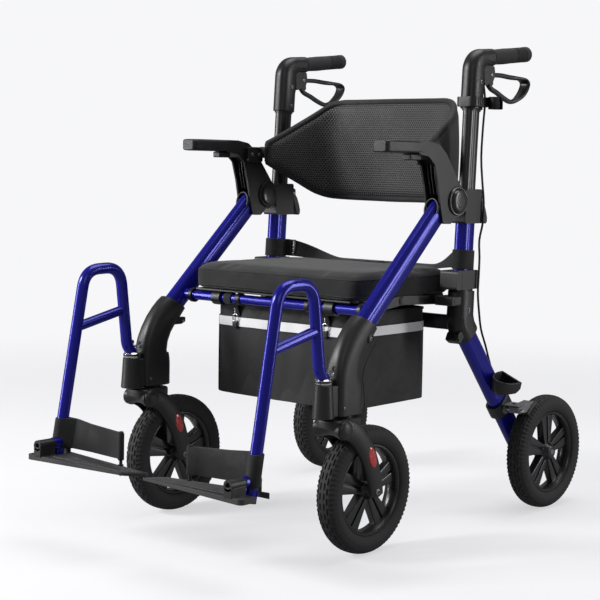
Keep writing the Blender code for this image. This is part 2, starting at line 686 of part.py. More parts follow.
def backrest():
    """A padded panel behind the user, its wings curving forward to the armrest brackets."""
    stations = [
        (0.0363 - FRAME_X, 0.0640, 0.7120, 0.7545), (0.0455 - FRAME_X, 0.1080, 0.6990, 0.7700),
        (0.0670 - FRAME_X, 0.1880, 0.6610, 0.8150), (0.0840 - FRAME_X, 0.2130, 0.6480, 0.8340),
        (0.1090 - FRAME_X, 0.2270, 0.6400, 0.8435), (0.2040 - FRAME_X, 0.2340, 0.6330, 0.8448),
        (0.0, 0.2345, 0.6325, 0.8450),
    ]
    stations += [(-x, y, low, high) for x, y, low, high in reversed(stations[:-1])]
    rings = []
    for i, (x, y, low, high) in enumerate(stations):
        before, after = stations[max(i - 1, 0)], stations[min(i + 1, len(stations) - 1)]
        along = Vector((after[0] - before[0], after[1] - before[1], 0)).normalized()
        out = Vector((-along.y, along.x, 0))
        thick = 0.0110 if i in (0, len(stations) - 1) else 0.0200
        middle = (low + high) / 2
        ring = []
        edge = ((1.0, 0.35), (0.93, 1.0), (0.4, 1.15), (-0.4, 1.15), (-0.93, 1.0), (-1.0, 0.35))
        for side, line in ((1, edge), (-1, edge[::-1])):
            for share, bulge in line:
                height = middle + share * (high - low) / 2
                ring.append(Vector((x, y, height)) + out * (side * thick / 2 * bulge))
        rings.append(ring)
    piece("backrest", loft(rings), (0, *HUB), fabric())


def forks():
    """Each caster's fork: a rounded crown over the tyre and two curved arms down to the axle."""
    axle = (FRONT_AXLE_Y, WHEEL_RADIUS)
    rise = FORK_TOP_Z - WHEEL_RADIUS
    inner, outer = FORK_GAP, FORK_GAP + FORK_ARM
    crown = plate(about((0, FORK_TOP_Z), [
        (-0.2670, -0.0170), (-0.2640, -0.0060), (-0.2560, -0.0015), (-0.2450, 0.0), (-0.2050, 0.0),
        (-0.1900, -0.0030), (-0.1820, -0.0090), (-0.1830, -0.0170), (-0.2200, -0.0180), (-0.2450, -0.0190),
        (-0.2600, -0.0240),
    ]), FRAME_X - outer, FRAME_X + outer)
    arm_outline = [
        (-0.2480, 0.96), (-0.2140, 0.97), (-0.1880, 0.86), (-0.1640, 0.64), (-0.1450, 0.37),
        (-0.1355, 0.13), (-0.1350, 0.00), (-0.1405, -0.09), (-0.1520, -0.12), (-0.1635, -0.09),
        (-0.1690, 0.00), (-0.1725, 0.16), (-0.1860, 0.39), (-0.2120, 0.56), (-0.2440, 0.72), (-0.2630, 0.86),
    ]
    arm_outline = [(y, WHEEL_RADIUS + share * rise) for y, share in arm_outline]
    arms = [
        plate(arm_outline, FRAME_X + middle - FORK_ARM / 2, FRAME_X + middle + FORK_ARM / 2)
        for middle in (-(inner + outer) / 2, (inner + outer) / 2)
    ]
    stem = turned_z([(FORK_TOP_Z - 0.012, STEM_RADIUS), (CASTING_BASE_Z + 0.040, STEM_RADIUS)],
                    (FRAME_X, SWIVEL_Y, 0), 12)
    race = turned_z([(FORK_TOP_Z - 0.004, 0.0190), (CASTING_BASE_Z - FIT, 0.0170)],
                    (FRAME_X, SWIVEL_Y, 0), 12)
    axle_bolt = turned([(-outer - 0.004, 0.0060), (-outer, 0.0090), (-outer + 0.001, AXLE_RADIUS),
                        (outer - 0.001, AXLE_RADIUS), (outer, 0.0090), (outer + 0.004, 0.0060)],
                       (FRAME_X, *axle), 12)
    boss = (-0.2260, FORK_TOP_Z - 0.0180)
    bosses = [
        rod(side_point(boss, FRAME_X + side * (outer - 0.002)),
            side_point(boss, FRAME_X + side * (outer + 0.003)), 0.0135, 10)
        for side in (-1, 1)
    ]
    mesh = merged([crown, *arms, *bosses, stem, race, axle_bolt])
    pair("fork", mesh, (FRAME_X, SWIVEL_Y, FORK_TOP_Z), casting())


def tyre(centre):
    """A tyre: tread, shoulders and side walls down to the rim."""
    half = TYRE_WIDTH / 2
    bead = RIM_RADIUS + FIT
    profile = [
        (-half * 0.62, bead), (-half * 0.96, bead + 0.008), (-half * 0.92, bead + 0.025),
        (-half * 0.52, WHEEL_RADIUS - 0.0012), (0.0, WHEEL_RADIUS), (half * 0.52, WHEEL_RADIUS - 0.0012),
        (half * 0.92, bead + 0.025), (half * 0.96, bead + 0.008), (half * 0.62, bead),
    ]
    return turned(profile, centre, WHEEL_SEGMENTS, closed=True)


def rim(centre, hub_half):
    """A moulded rim: a barrel, a hub and the double spokes between them."""
    centre = Vector(centre)
    half = RIM_WIDTH / 2
    barrel = turned([
        (-half, RIM_RADIUS - 0.006), (-half, RIM_RADIUS), (half, RIM_RADIUS), (half, RIM_RADIUS - 0.006),
        (0.0, RIM_RADIUS - 0.0095),
    ], centre, WHEEL_SEGMENTS, closed=True)
    hub = turned([(-hub_half, 0.013), (-hub_half + 0.004, HUB_RADIUS), (hub_half - 0.004, HUB_RADIUS),
                  (hub_half, 0.013)], centre, 12)
    bars = [spoke(centre, math.tau * i / SPOKES + math.pi / 2) for i in range(SPOKES)]
    bore = turned([(-0.05, around(AXLE_RADIUS)), (0.05, around(AXLE_RADIUS))], centre, SIDES)
    return merged([barrel, hub, *bars], [bore])


def spoke(centre, angle):
    """One double spoke: two broad ribs that spread towards the barrel, joined by a thin web."""
    out = Vector((0, math.cos(angle), math.sin(angle)))
    across = X.cross(out)
    rings = []
    for reach, half in ((0.0150, 0.0090), (RIM_RADIUS - 0.0045, 0.0235)):
        side = [(half, SPOKE_HALF), (SPOKE_GROOVE, SPOKE_HALF), (SPOKE_GROOVE, SPOKE_WEB),
                (-SPOKE_GROOVE, SPOKE_WEB), (-SPOKE_GROOVE, SPOKE_HALF), (-half, SPOKE_HALF)]
        section = side + [(-a, -b) for a, b in side]
        rings.append([centre + out * reach + across * a + X * b for a, b in section])
    return loft(rings)


def wheels():
    front = (FRAME_X, FRONT_AXLE_Y, WHEEL_RADIUS)
    rear = (REAR_WHEEL_X, REAR_AXLE_Y, WHEEL_RADIUS)
    pair("front_tyre", tyre(front), front, rubber())
    pair("front_rim", rim(front, 0.0225), front, black())
    pair("rear_tyre", tyre(rear), rear, rubber())
    pair("rear_rim", rim(rear, 0.0205), rear, black())


def hanger_y(z):
    """The centre of the footrest tube's front leg at this height."""
    (top_y, top_z), (foot_y, foot_z) = HANGER_FRONT_TOP, HANGER_FRONT_FOOT
    return foot_y + (z - foot_z) * (top_y - foot_y) / (top_z - foot_z)


def hangers():
    """Each footrest's bent tube with its brace, ending in the pin that turns in the socket."""
    corners = [
        (HANGER_Y, SOCKET_TOP_Z - 0.052), (HANGER_Y, SOCKET_TOP_Z + 0.010), *HANGER_REAR,
        HANGER_FRONT_TOP, (hanger_y(0.142), 0.142),
    ]
    points = [side_point(corner) for corner in corners]
    path = [points[0], *bent(points[1:], 0.034, 3)]
    tube = sweep(path, 2 * HANGER_RADIUS, 2 * HANGER_RADIUS)
    brace = rod(side_point((-0.4010, 0.3935)), side_point((-0.2890, 0.4190)), 0.0095)
    collar = turned_z([(SOCKET_TOP_Z + FIT, 0.0158), (SOCKET_TOP_Z + 0.009, 0.0158)],
                      (FRAME_X, HANGER_Y, 0), 12)
    pivot = rod((PLATE_HINGE_X, PLATE_FRONT_Y + 0.006, PLATE_HINGE_Z),
                (PLATE_HINGE_X, PLATE_REAR_Y, PLATE_HINGE_Z), 0.005)
    knuckle = rod((PLATE_HINGE_X, KNUCKLE_FRONT_Y + RUNNING, PLATE_HINGE_Z),
                  (PLATE_HINGE_X, KNUCKLE_REAR_Y - RUNNING, PLATE_HINGE_Z), 0.0110)
    mesh = merged([tube, brace, collar, knuckle, pivot])
    pair("footrest_hanger", mesh, (FRAME_X, HANGER_Y, SOCKET_TOP_Z), blue())


def footplates():
    low, high = PLATE_TOP_Z - PLATE_THICK, PLATE_TOP_Z
    front_y, rear_y = PLATE_FRONT_Y, PLATE_REAR_Y
    inner_x, outer_x = PLATE_INNER_X, PLATE_OUTER_X
    plan = rounded([(inner_x, -0.4520), (outer_x, front_y), (outer_x, rear_y), (inner_x, -0.3740)],
                   [0.012, 0.006, 0.006, 0.012])
    slab = flat_plate(plan, low, high)
    lugs = []
    for start, end in ((front_y, KNUCKLE_FRONT_Y), (KNUCKLE_REAR_Y, rear_y)):
        barrel = rod((PLATE_HINGE_X, start, PLATE_HINGE_Z), (PLATE_HINGE_X, end, PLATE_HINGE_Z), 0.0102, 14)
        foot = block((PLATE_HINGE_X - 0.0098, start, high - 0.002),
                     (PLATE_HINGE_X + 0.0098, end, PLATE_HINGE_Z))
        lugs += [barrel, foot]
    bore = rod((PLATE_HINGE_X, -0.53, PLATE_HINGE_Z), (PLATE_HINGE_X, -0.40, PLATE_HINGE_Z), around(0.005))
    notch = block((PLATE_HINGE_X - 0.0165, KNUCKLE_FRONT_Y - 0.0002, low - 0.01),
                  (outer_x + 0.01, KNUCKLE_REAR_Y + 0.0002, high + 0.01))
    post = rod((*STRAP_POST, low - 0.004), (*STRAP_POST, STRAP_POST_TOP_Z), 0.003, 8)
    nut = rod((*STRAP_POST, low - 0.0045), (*STRAP_POST, low + 0.001), 0.0055, 6)
    mesh = merged([slab, *lugs, post, nut], [bore, notch])
    pair("footplate", mesh, (PLATE_HINGE_X, -0.45, PLATE_HINGE_Z), casting())


def heel_straps():
    """Wide webbing round the hanger tube, across to the upright rod on the footplate."""
    low, high = 0.1690, 0.2265
    over_hinge = PLATE_HINGE_Z + 0.0115
    inner = Vector((*STRAP_POST, 0))
    outer_x, inner_x = PLATE_HINGE_X - 0.045, PLATE_HINGE_X - 0.100
    rings = []
    for z in (low, high):
        leg = Vector((FRAME_X, hanger_y(z), 0))
        wrap, loop = HANGER_RADIUS + FIT + STRAP_THICK, 0.003 + FIT + STRAP_THICK
        outline = [leg + Vector((math.cos(a), math.sin(a), 0)) * wrap
                   for a in [math.radians(d) for d in range(-85, 86, 34)]]
        outline += [Vector((outer_x, leg.y + 0.0145, 0)), Vector((inner_x, inner.y + 0.0125, 0))]
        outline += [inner + Vector((math.cos(a), math.sin(a), 0)) * loop
                    for a in [math.radians(d) for d in range(95, 266, 57)]]
        outline += [Vector((inner_x, inner.y + 0.0085, 0)), Vector((outer_x, leg.y + 0.0105, 0))]
        if z == low:
            rise = [min(max((point.x - inner_x) / (outer_x - inner_x), 0), 1) for point in outline]
            rings.append([point + Z * (low + (over_hinge - low) * share)
                          for point, share in zip(outline, rise)])
        else:
            drop = [min(max((outer_x - point.x) / (outer_x - STRAP_POST[0]), 0), 1) * STRAP_DROP
                    for point in outline]
            rings.append([point + Z * (z - fall) for point, fall in zip(outline, drop)])
    band = loft(rings)
    leg_low = Vector((FRAME_X, hanger_y(low - 0.02), low - 0.02))
    leg_high = Vector((FRAME_X, hanger_y(high + 0.02), high + 0.02))
    leg_hole = sweep([leg_low, leg_high], 2 * HANGER_RADIUS + 2 * FIT, 2 * HANGER_RADIUS + 2 * FIT)
    rod_hole = rod(inner + Z * 0.1, inner + Z * 0.3, 0.003 + FIT, 8)
    mesh = merged([band], [leg_hole, rod_hole])
    pair("heel_strap", mesh, (PLATE_HINGE_X, -0.45, PLATE_HINGE_Z), fabric())


def seat():
    base, top = SEAT_BASE_Z, SEAT_TOP_Z
    centre_y, half_y = (SEAT_FRONT_Y + SEAT_REAR_Y) / 2, (SEAT_REAR_Y - SEAT_FRONT_Y) / 2
    bm = bmesh.new()
    bmesh.ops.create_cube(bm, size=2)
    bmesh.ops.subdivide_edges(bm, edges=bm.edges[:], cuts=8, use_grid_fill=True)
    for vert in bm.verts:
        u, v, w = vert.co
        edge = max(abs(u), abs(v))
        draw = 1 - 0.020 * w * w
        corner = 1 - 0.030 * max(abs(u) + abs(v) - 1.45, 0) ** 2 / 0.3
        crown = 1 - 0.16 * edge ** 6 if w > 0 else 1
        x = u * SEAT_HALF * draw * corner
        y = centre_y + v * half_y * draw * corner
        z = base + (top - base) * (w + 1) / 2 * (crown if w > 0 else 1)
        vert.co = (x, y, z)
    mesh = bpy.data.meshes.new("seat_cushion")
    bm.to_mesh(mesh)
    bm.free()
    piece("seat_cushion", mesh, side_point(ROD, 0), fabric())
    pan_top = base - FIT
    half, front_y, rear_y = SEAT_HALF - 0.0063, SEAT_FRONT_Y + 0.025, SEAT_REAR_Y - 0.003
    board = flat_plate(rounded([(-half, front_y), (half, front_y), (half, rear_y), (-half, rear_y)], 0.012),
                       pan_top - PAN_THICK, pan_top)
    adds = [board]
    for x in (-0.150, 0.150):
        adds.append(rod(side_point(ROD, x - 0.012), side_point(ROD, x + 0.012), ROD_RADIUS + 0.0055, 12))
        adds.append(block((x - 0.011, ROD[0], pan_top - PAN_THICK),
                          (x + 0.011, front_y + 0.018, pan_top - 0.001)))
    bore = rod(side_point(ROD, -SEAT_HALF), side_point(ROD, SEAT_HALF), around(ROD_RADIUS))
    piece("seat_pan", merged(adds, [bore]), side_point(ROD, 0), black())


def links():
    """The folding rails under the seat, in two leaves that lie side by side at the knuckle."""
    low, high = LINK_X, LINK_X + LINK_THICK
    rear = plate([*arc(LINK_BOSS, 0.009, -80, 80, 5), *arc(KNUCKLE, 0.009, 100, 260, 5)], low, high)
    hole = rod(side_point(LINK_BOSS, low - 0.02), side_point(LINK_BOSS, high + 0.02), around(0.0035))
    pair("rear_link", merged([rear], [hole]), side_point(LINK_BOSS, low), steel())
    low, high = high + RUNNING, high + RUNNING + LINK_THICK
    front = plate([*arc(KNUCKLE, 0.009, -80, 80, 5), *arc(ROD, 0.0145, 125, 235, 5)], low, high)
    collar = rod(side_point(ROD, low), side_point(ROD, high + 0.006), 0.0145, 12)
    hole = rod(side_point(ROD, low - 0.02), side_point(ROD, high + 0.02), around(ROD_RADIUS))
    cap = rod(side_point(KNUCKLE, high - 0.001), side_point(KNUCKLE, high + 0.003), 0.006)
    pair("front_link", merged([front, collar, cap], [hole]), side_point(ROD, low), steel())


def bag():
    """The under-seat bag: a fabric box with an open top, hung from the front rod."""
    outer = block((-BAG_HALF, BAG_FRONT_Y, BAG_BASE_Z), (BAG_HALF, BAG_REAR_Y, BAG_TOP_Z))
    inner = block((BAG_WALL - BAG_HALF, BAG_FRONT_Y + BAG_WALL, BAG_BASE_Z + BAG_WALL),
                  (BAG_HALF - BAG_WALL, BAG_REAR_Y - BAG_WALL, BAG_TOP_Z + 0.02))
    loop = ROD_RADIUS + 0.0028
    hangers = []
    for x in (-0.120, 0.120):
        hangers.append(block((x - 0.010, ROD[0] - loop, BAG_TOP_Z - 0.020),
                             (x + 0.010, BAG_FRONT_Y + 0.002, ROD[1])))
        hangers.append(rod(side_point(ROD, x - 0.010), side_point(ROD, x + 0.010), loop))
    rod_room = rod(side_point(ROD, -BAG_HALF), side_point(ROD, BAG_HALF), ROD_RADIUS + FIT)
    box = merged([outer], [inner])
    piece("bag", merged([box, *hangers], [rod_room]), side_point(ROD, 0), fabric())


def seat_belts():
    """The two halves of the lap belt, each looped round a post, meeting at the buckle."""
    low, high = BELT_BASE_Z, BELT_TOP_Z
    base_y = post_y((low + high) / 2)
    deep, wide = TUBE_DEEP / 2 + 0.0028, TUBE_WIDE / 2 + 0.0028
    wrap = sweep([post_point(low + 0.0020), post_point(high)], 2 * wide, 2 * deep)
    rings = []
    for x, y, bottom, top in (
        (FRAME_X - 0.0155, 0.1520, low + 0.001, high - 0.0005), (FRAME_X - 0.038, 0.1560, 0.5070, 0.5440),
        (FRAME_X - 0.074, 0.1575, 0.5060, 0.5290), (FRAME_X - 0.124, 0.1580, 0.5055, 0.5180),
        (FRAME_X - 0.194, 0.1590, 0.5055, 0.5135), (2 * FIT, 0.1600, 0.5055, 0.5140),
    ):
        lean = (high - top) * 0.55
        rings.append([Vector((x, y, bottom)), Vector((x, y + 0.0032, bottom)),
                      Vector((x, y + 0.0032 + lean, top)), Vector((x, y + lean, top))])
    strap = loft(rings)
    hole = sweep([post_point(low - 0.02), post_point(high + 0.02)], TUBE_WIDE + 2 * FIT, TUBE_DEEP + 2 * FIT)
    mesh = merged([wrap, strap], [hole])
    pair("seat_belt", mesh, (FRAME_X, base_y, low), fabric())


def rear_polar(reach, degrees):
    """The (y, z) point this far outside the rear wheel's tread, at an angle about its axle."""
    return polar((REAR_AXLE_Y, WHEEL_RADIUS), WHEEL_RADIUS + reach, degrees)


def brake_pivot():
    return side_point(rear_polar(BRAKE_REACH, BRAKE_ANGLE), REAR_WHEEL_X)


def brake_brackets():
    point, down = leg_point(BRAKE_BRACKET_Z), leg_down()
    ring = sweep([point - down * 0.015, point + down * 0.015], TUBE_WIDE + 0.009, TUBE_DEEP + 0.009)
    pivot = brake_pivot()
    outer = FRAME_X + TUBE_WIDE / 2 + 0.0045
    boss = rod((outer - 0.0035, pivot.y, pivot.z), (outer + 0.0025, pivot.y, pivot.z), 0.0105)
    pin = rod((outer - 0.002, pivot.y, pivot.z), (REAR_WHEEL_X + 0.0195, pivot.y, pivot.z), BRAKE_PIN)
    mesh = merged([ring, boss, pin], [leg_run(FIT)])
    pair("brake_bracket", mesh, (FRAME_X, point.y, point.z), black())


def brake_shoes():
    """The lever and pad that press on each rear tyre."""
    pivot = brake_pivot()
    axle = (REAR_AXLE_Y, WHEEL_RADIUS)
    near, far = WHEEL_RADIUS + BRAKE_GAP, WHEEL_RADIUS + BRAKE_GAP + 0.006
    pad = plate([*arc(axle, near, 117, 134, 5), *arc(axle, far, 134, 117, 5)],
                REAR_WHEEL_X - 0.016, REAR_WHEEL_X + 0.016)
    root = about((pivot.y, pivot.z), [(-0.0075, -0.0060), (-0.0070, 0.0070), (0.0080, 0.0085)])
    tip = [rear_polar(0.0105, 118.5), rear_polar(0.0060, 118.0), rear_polar(0.0060, 131.5)]
    arm = plate(rounded([*root, *tip], 0.003), REAR_WHEEL_X - 0.012, REAR_WHEEL_X + 0.012)
    bore = rod(pivot - X * 0.03, pivot + X * 0.03, around(BRAKE_PIN))
    pair("brake_shoe", merged([arm, pad], [bore]), pivot, steel())


def cup_plan(inset):
    """The stick tray's outline, set in by inset: straight behind and curved in front."""
    inner_x, outer_x = FRAME_X + TUBE_WIDE / 2 + 0.0006 + inset, FRAME_X + 0.0645 - inset
    rear_y, front_y = 0.2620 - inset, 0.2040 + inset
    middle, half = (inner_x + outer_x) / 2, (outer_x - inner_x) / 2
    angles = [math.pi * (1 + step / 8) for step in range(9)]
    return [(middle + half * math.cos(a), rear_y + (rear_y - front_y) * math.sin(a)) for a in angles]


def cane_cup():
    """The open tray on the left rear leg that holds the foot of a walking stick."""
    outer = loft([[Vector((x, y, z)) for x, y in cup_plan(inset)] for z, inset in (
        (CUP_BASE_Z, 0.0070), (CUP_BASE_Z + 0.0100, 0.0020), (CUP_TOP_Z, 0.0))])
    inner = loft([[Vector((x, y, z)) for x, y in cup_plan(inset + CUP_WALL)] for z, inset in (
        (CUP_BASE_Z + CUP_WALL, 0.0070), (CUP_BASE_Z + 0.0105, 0.0020), (CUP_TOP_Z + 0.02, 0.0))])
    face = FRAME_X + TUBE_WIDE / 2
    lug = block((face + 0.0004, 0.2260, CUP_BASE_Z + 0.0025), (face + 0.004, 0.2560, CUP_TOP_Z - 0.007))
    piece("cane_cup", merged([outer, lug], [inner]), (FRAME_X, 0.25, CUP_BASE_Z), black())


def cable(name, side):
    """A brake cable from the lever bracket down the back of the post and leg to the brake."""
    route = [
        (0.0095, 0.2000, 0.8738), (0.0110, 0.2010, 0.8400), (0.0220, 0.1960, 0.7600),
        (0.0240, 0.1940, 0.6625), (0.0240, 0.1900, 0.5800), (0.0200, 0.1840, 0.5000),
        (0.0140, 0.1800, 0.4500), (0.0110, 0.1865, 0.4020), (0.0100, 0.2010, 0.3600),
        (0.0085, 0.2340, 0.3135), (0.0080, 0.2839, 0.2481),
    ]
    points = smooth_route([Vector((side * (FRAME_X - inset), y, z)) for inset, y, z in route], 3)
    data = bpy.data.curves.new(name, "CURVE")
    data.dimensions = "3D"
    data.bevel_depth = 0.0022
    data.bevel_resolution = 1
    data.use_fill_caps = True
    spline = data.splines.new("POLY")
    spline.points.add(len(points) - 1)
    for target, point in zip(spline.points, points):
        target.co = (*point, 1)
    made = bpy.data.objects.new(name, data)
    made.data.materials.append(black())
    bpy.context.scene.collection.objects.link(made)


def smooth_route(points, steps):
    """Points on a smooth curve through the route's own points."""
    line = [points[0] * 2 - points[1], *points, points[-1] * 2 - points[-2]]
    path = []
    for a, b, c, d in zip(line, line[1:], line[2:], line[3:]):
        for step in range(steps):
            t = step / steps
            path.append(0.5 * (2 * b + (c - a) * t + (2 * a - 5 * b + 4 * c - d) * t ** 2
                               + (3 * b - a - 3 * c + d) * t ** 3))
    return path + [points[-1]]


def main():
    for old in list(bpy.data.objects):
        bpy.data.objects.remove(old, do_unlink=True)
    rear_legs()
    knee_joints()
    hub_clamps()
    clamp_levers()
    handle_tubes()
    handle_sleeves()
    grips()
    brake_levers()
    cane_clip()
    rear_cross_bar()
    front_tubes()
    armrests()
    hub_bolts()
    leg_castings()
    footrest_latches()
    backrest()
    forks()
    wheels()
    hangers()
    footplates()
    heel_straps()
    seat()
    links()
    bag()
    seat_belts()
    brake_brackets()
    brake_shoes()
    cane_cup()
    for name, side in zip(SIDE_NAMES, (1, -1)):
        cable(f"brake_cable_{name}", side)


if __name__ == "__main__":
    main()
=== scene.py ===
"""A rollator wheelchair in a pale studio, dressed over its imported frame.

The front of the chair is -Y, the user's left is +X and +Z is up. Lengths are in metres. Each paired
piece is shaped on the +X side and mirrored.
"""

import json
import logging
import math
from dataclasses import dataclass
from enum import Enum
from typing import Callable, Sequence

import bmesh
import bpy
from mathutils import Matrix, Vector
from mathutils.bvhtree import BVHTree

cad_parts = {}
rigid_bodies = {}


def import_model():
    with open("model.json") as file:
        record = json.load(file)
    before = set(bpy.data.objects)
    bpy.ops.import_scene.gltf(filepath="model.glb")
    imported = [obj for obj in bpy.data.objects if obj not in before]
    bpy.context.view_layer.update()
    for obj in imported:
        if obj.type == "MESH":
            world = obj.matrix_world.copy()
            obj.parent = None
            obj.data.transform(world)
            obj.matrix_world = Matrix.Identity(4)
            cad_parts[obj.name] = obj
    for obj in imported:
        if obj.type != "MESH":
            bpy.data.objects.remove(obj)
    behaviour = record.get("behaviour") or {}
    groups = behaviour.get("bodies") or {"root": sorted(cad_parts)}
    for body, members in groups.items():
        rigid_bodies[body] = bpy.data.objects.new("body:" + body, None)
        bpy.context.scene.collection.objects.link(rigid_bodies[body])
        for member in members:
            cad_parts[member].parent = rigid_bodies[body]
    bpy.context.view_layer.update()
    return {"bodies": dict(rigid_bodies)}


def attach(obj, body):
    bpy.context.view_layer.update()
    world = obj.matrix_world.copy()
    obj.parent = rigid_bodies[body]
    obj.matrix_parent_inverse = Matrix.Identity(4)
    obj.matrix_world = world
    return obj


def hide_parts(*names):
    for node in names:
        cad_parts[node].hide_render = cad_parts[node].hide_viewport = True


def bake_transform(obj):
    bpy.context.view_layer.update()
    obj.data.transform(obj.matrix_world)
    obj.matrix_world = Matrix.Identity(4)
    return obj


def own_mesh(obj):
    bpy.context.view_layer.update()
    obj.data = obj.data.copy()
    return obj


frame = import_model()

LOG = logging.getLogger("rollator")

Mesh = bpy.types.Mesh
Pair = tuple[float, float]
Colour = tuple[float, float, float]
X, Y, Z = Vector((1, 0, 0)), Vector((0, 1, 0)), Vector((0, 0, 1))

# Shared places, in metres

FRAME_X = 0.254
REAR_X = 0.297
HUB = (0.092, 0.643)
POST_FOOT = (0.133, 0.403)
POST_LEAN = 0.0623
LEG_SLOPE = -0.7908
SWIVEL_Y = -0.217
WHEEL_RADIUS = AXLE_Z = 0.1175
FRONT_AXLE = (-0.152, AXLE_Z)
REAR_AXLE = (0.382, AXLE_Z)
HANGER_Y = -0.269
ROD = (-0.13, 0.44)
RAIL_PIVOT = (0.1, 0.447)
TUBE_SQUARE = 2.3
TUBE_FLUTES = (-21.0, 21.0, 159.0, 201.0)


class Side(Enum):
    """A side of the chair and its sign along X."""

    LEFT = 1
    RIGHT = -1

    @property
    def word(self) -> str:
        """The side's name as nodes and bodies carry it."""
        return self.name.lower()


# Shader building


class Graph:
    """Wires the nodes of one shader tree."""

    def __init__(self, tree: bpy.types.NodeTree) -> None:
        """Takes a material's or a group's node tree."""
        self.tree = tree

    def feed(self, socket: bpy.types.NodeSocket, value: object) -> None:
        """Links a socket to another, or sets its value.

        Args:
            socket: The input to feed.
            value: An output socket, a number or a colour.
        """
        if isinstance(value, bpy.types.NodeSocket):
            self.tree.links.new(value, socket)
        elif isinstance(value, tuple) and len(value) == 3 and socket.type == "RGBA":
            socket.default_value = (*value, 1.0)
        else:
            socket.default_value = value

    def node(self, kind: str, inputs: dict | None = None, **settings: object) -> bpy.types.Node:
        """Adds a node.

        Args:
            kind: The node's type, without the leading ShaderNode.
            inputs: Values or sockets by input name or index.
            settings: The node's own properties.

        Returns:
            The new node.
        """
        made = self.tree.nodes.new(kind if kind.startswith("Node") else f"ShaderNode{kind}")
        for key, value in settings.items():
            setattr(made, key, value)
        for key, value in (inputs or {}).items():
            self.feed(made.inputs[key], value)
        return made

    def math(self, operation: str, first: object, second: object = 0.0, clamp: bool = False) -> object:
        """The socket of one step of arithmetic on numbers or sockets."""
        return self.node("Math", {0: first, 1: second}, operation=operation, use_clamp=clamp).outputs[0]

    def plus(self, first: object, second: object) -> object:
        """The socket of a sum."""
        return self.math("ADD", first, second)

    def times(self, first: object, second: object) -> object:
        """The socket of a product."""
        return self.math("MULTIPLY", first, second)

    def mix(self, factor: object, first: object, second: object) -> object:
        """The socket of a colour between two, where factor 0 gives the first."""
        return self.node("Mix", {0: factor, 6: first, 7: second}, data_type="RGBA").outputs[2]

    def span(self, value: object, low: float, high: float, start: float = 0.0, end: float = 1.0) -> object:
        """The socket of a value taken smoothly from low and high to start and end."""
        return self.node("MapRange", {0: value, 1: low, 2: high, 3: start, 4: end},
                         interpolation_type="SMOOTHSTEP").outputs[0]

    def noise(self, where: object, scale: float, detail: float = 3.0) -> object:
        """The socket of a noise from 0 to 1, with this many features per metre."""
        return self.node("TexNoise", {"Vector": where, "Scale": scale, "Detail": detail}).outputs[0]


Wire = Callable[[Graph, dict, dict], None]


def shader_group(name: str, takes: dict[str, float], gives: Sequence[str], wire: Wire) -> bpy.types.NodeTree:
    """A node group, made the first time it is asked for.

    Args:
        name: The group's name.
        takes: Input names with their defaults.
        gives: Output names.
        wire: Fills the group from a graph, its inputs and its outputs.

    Returns:
        The group's tree.
    """
    if name in bpy.data.node_groups:
        return bpy.data.node_groups[name]
    tree = bpy.data.node_groups.new(name, "ShaderNodeTree")
    for key, value in takes.items():
        socket = tree.interface.new_socket(key, in_out="INPUT", socket_type="NodeSocketFloat")
        socket.default_value = value
    for key in gives:
        kind = "NodeSocketVector" if key == "Vector" else "NodeSocketFloat"
        tree.interface.new_socket(key, in_out="OUTPUT", socket_type=kind)
    graph = Graph(tree)
    entry, leave = graph.node("NodeGroupInput"), graph.node("NodeGroupOutput")
    wire(graph, {key: entry.outputs[key] for key in takes}, {key: leave.inputs[key] for key in gives})
    return tree


def placed(graph: Graph, name: str, takes: dict[str, float], gives: Sequence[str], wire: Wire) -> object:
    """The outputs of a shared group that is placed in a graph with its own values."""
    return graph.node("Group", takes, node_tree=shader_group(name, takes, gives, wire)).outputs


def wire_grain(graph: Graph, takes: dict, gives: dict) -> None:
    """Fine moulded or sprayed grain, with a slow mottle across the piece."""
    where = graph.node("TexCoord").outputs["Object"]
    fine = graph.node("TexNoise", {"Vector": where, "Detail": 2.0})
    graph.feed(fine.inputs["Scale"], graph.math("DIVIDE", 1.0, takes["Size"]))
    graph.feed(gives["Height"], fine.outputs[0])
    slow = graph.plus(graph.noise(where, 11.0), graph.times(graph.noise(where, 90.0), 0.35))
    graph.feed(gives["Mottle"], graph.span(slow, 0.35, 0.95))


def wire_wear(graph: Graph, takes: dict, gives: dict) -> None:
    """Rubbed edges and stray scuffs."""
    where = graph.node("TexCoord").outputs["Object"]
    edge = graph.span(graph.node("NewGeometry").outputs["Pointiness"], 0.52, 0.6)
    patch = graph.span(graph.noise(where, 55.0, 6.0), 0.42, 0.66)
    stretch = graph.node("Mapping", {"Vector": where, "Scale": (260.0, 40.0, 900.0)}).outputs[0]
    scuff = graph.span(graph.noise(stretch, 1.0, 2.0), 0.7, 0.78)
    rubbed = graph.plus(graph.times(edge, patch), graph.times(scuff, 0.25))
    graph.feed(gives["Mask"], graph.math("MULTIPLY", rubbed, takes["Amount"], clamp=True))


def wire_dust(graph: Graph, takes: dict, gives: dict) -> None:
    """Dust that settles on what faces up, thicker near the floor."""
    where = graph.node("TexCoord").outputs["Object"]
    facing = graph.node("SeparateXYZ", {0: graph.node("NewGeometry").outputs["Normal"]}).outputs[2]
    height = graph.node("SeparateXYZ", {0: where}).outputs[2]
    low = graph.span(height, 0.45, 0.02, 0.35, 1.0)
    up = graph.span(facing, -0.3, 1.0)
    patch = graph.span(graph.noise(where, 38.0, 5.0), 0.35, 0.75)
    laid = graph.times(graph.times(up, patch), low)
    graph.feed(gives["Mask"], graph.math("MULTIPLY", laid, takes["Amount"], clamp=True))


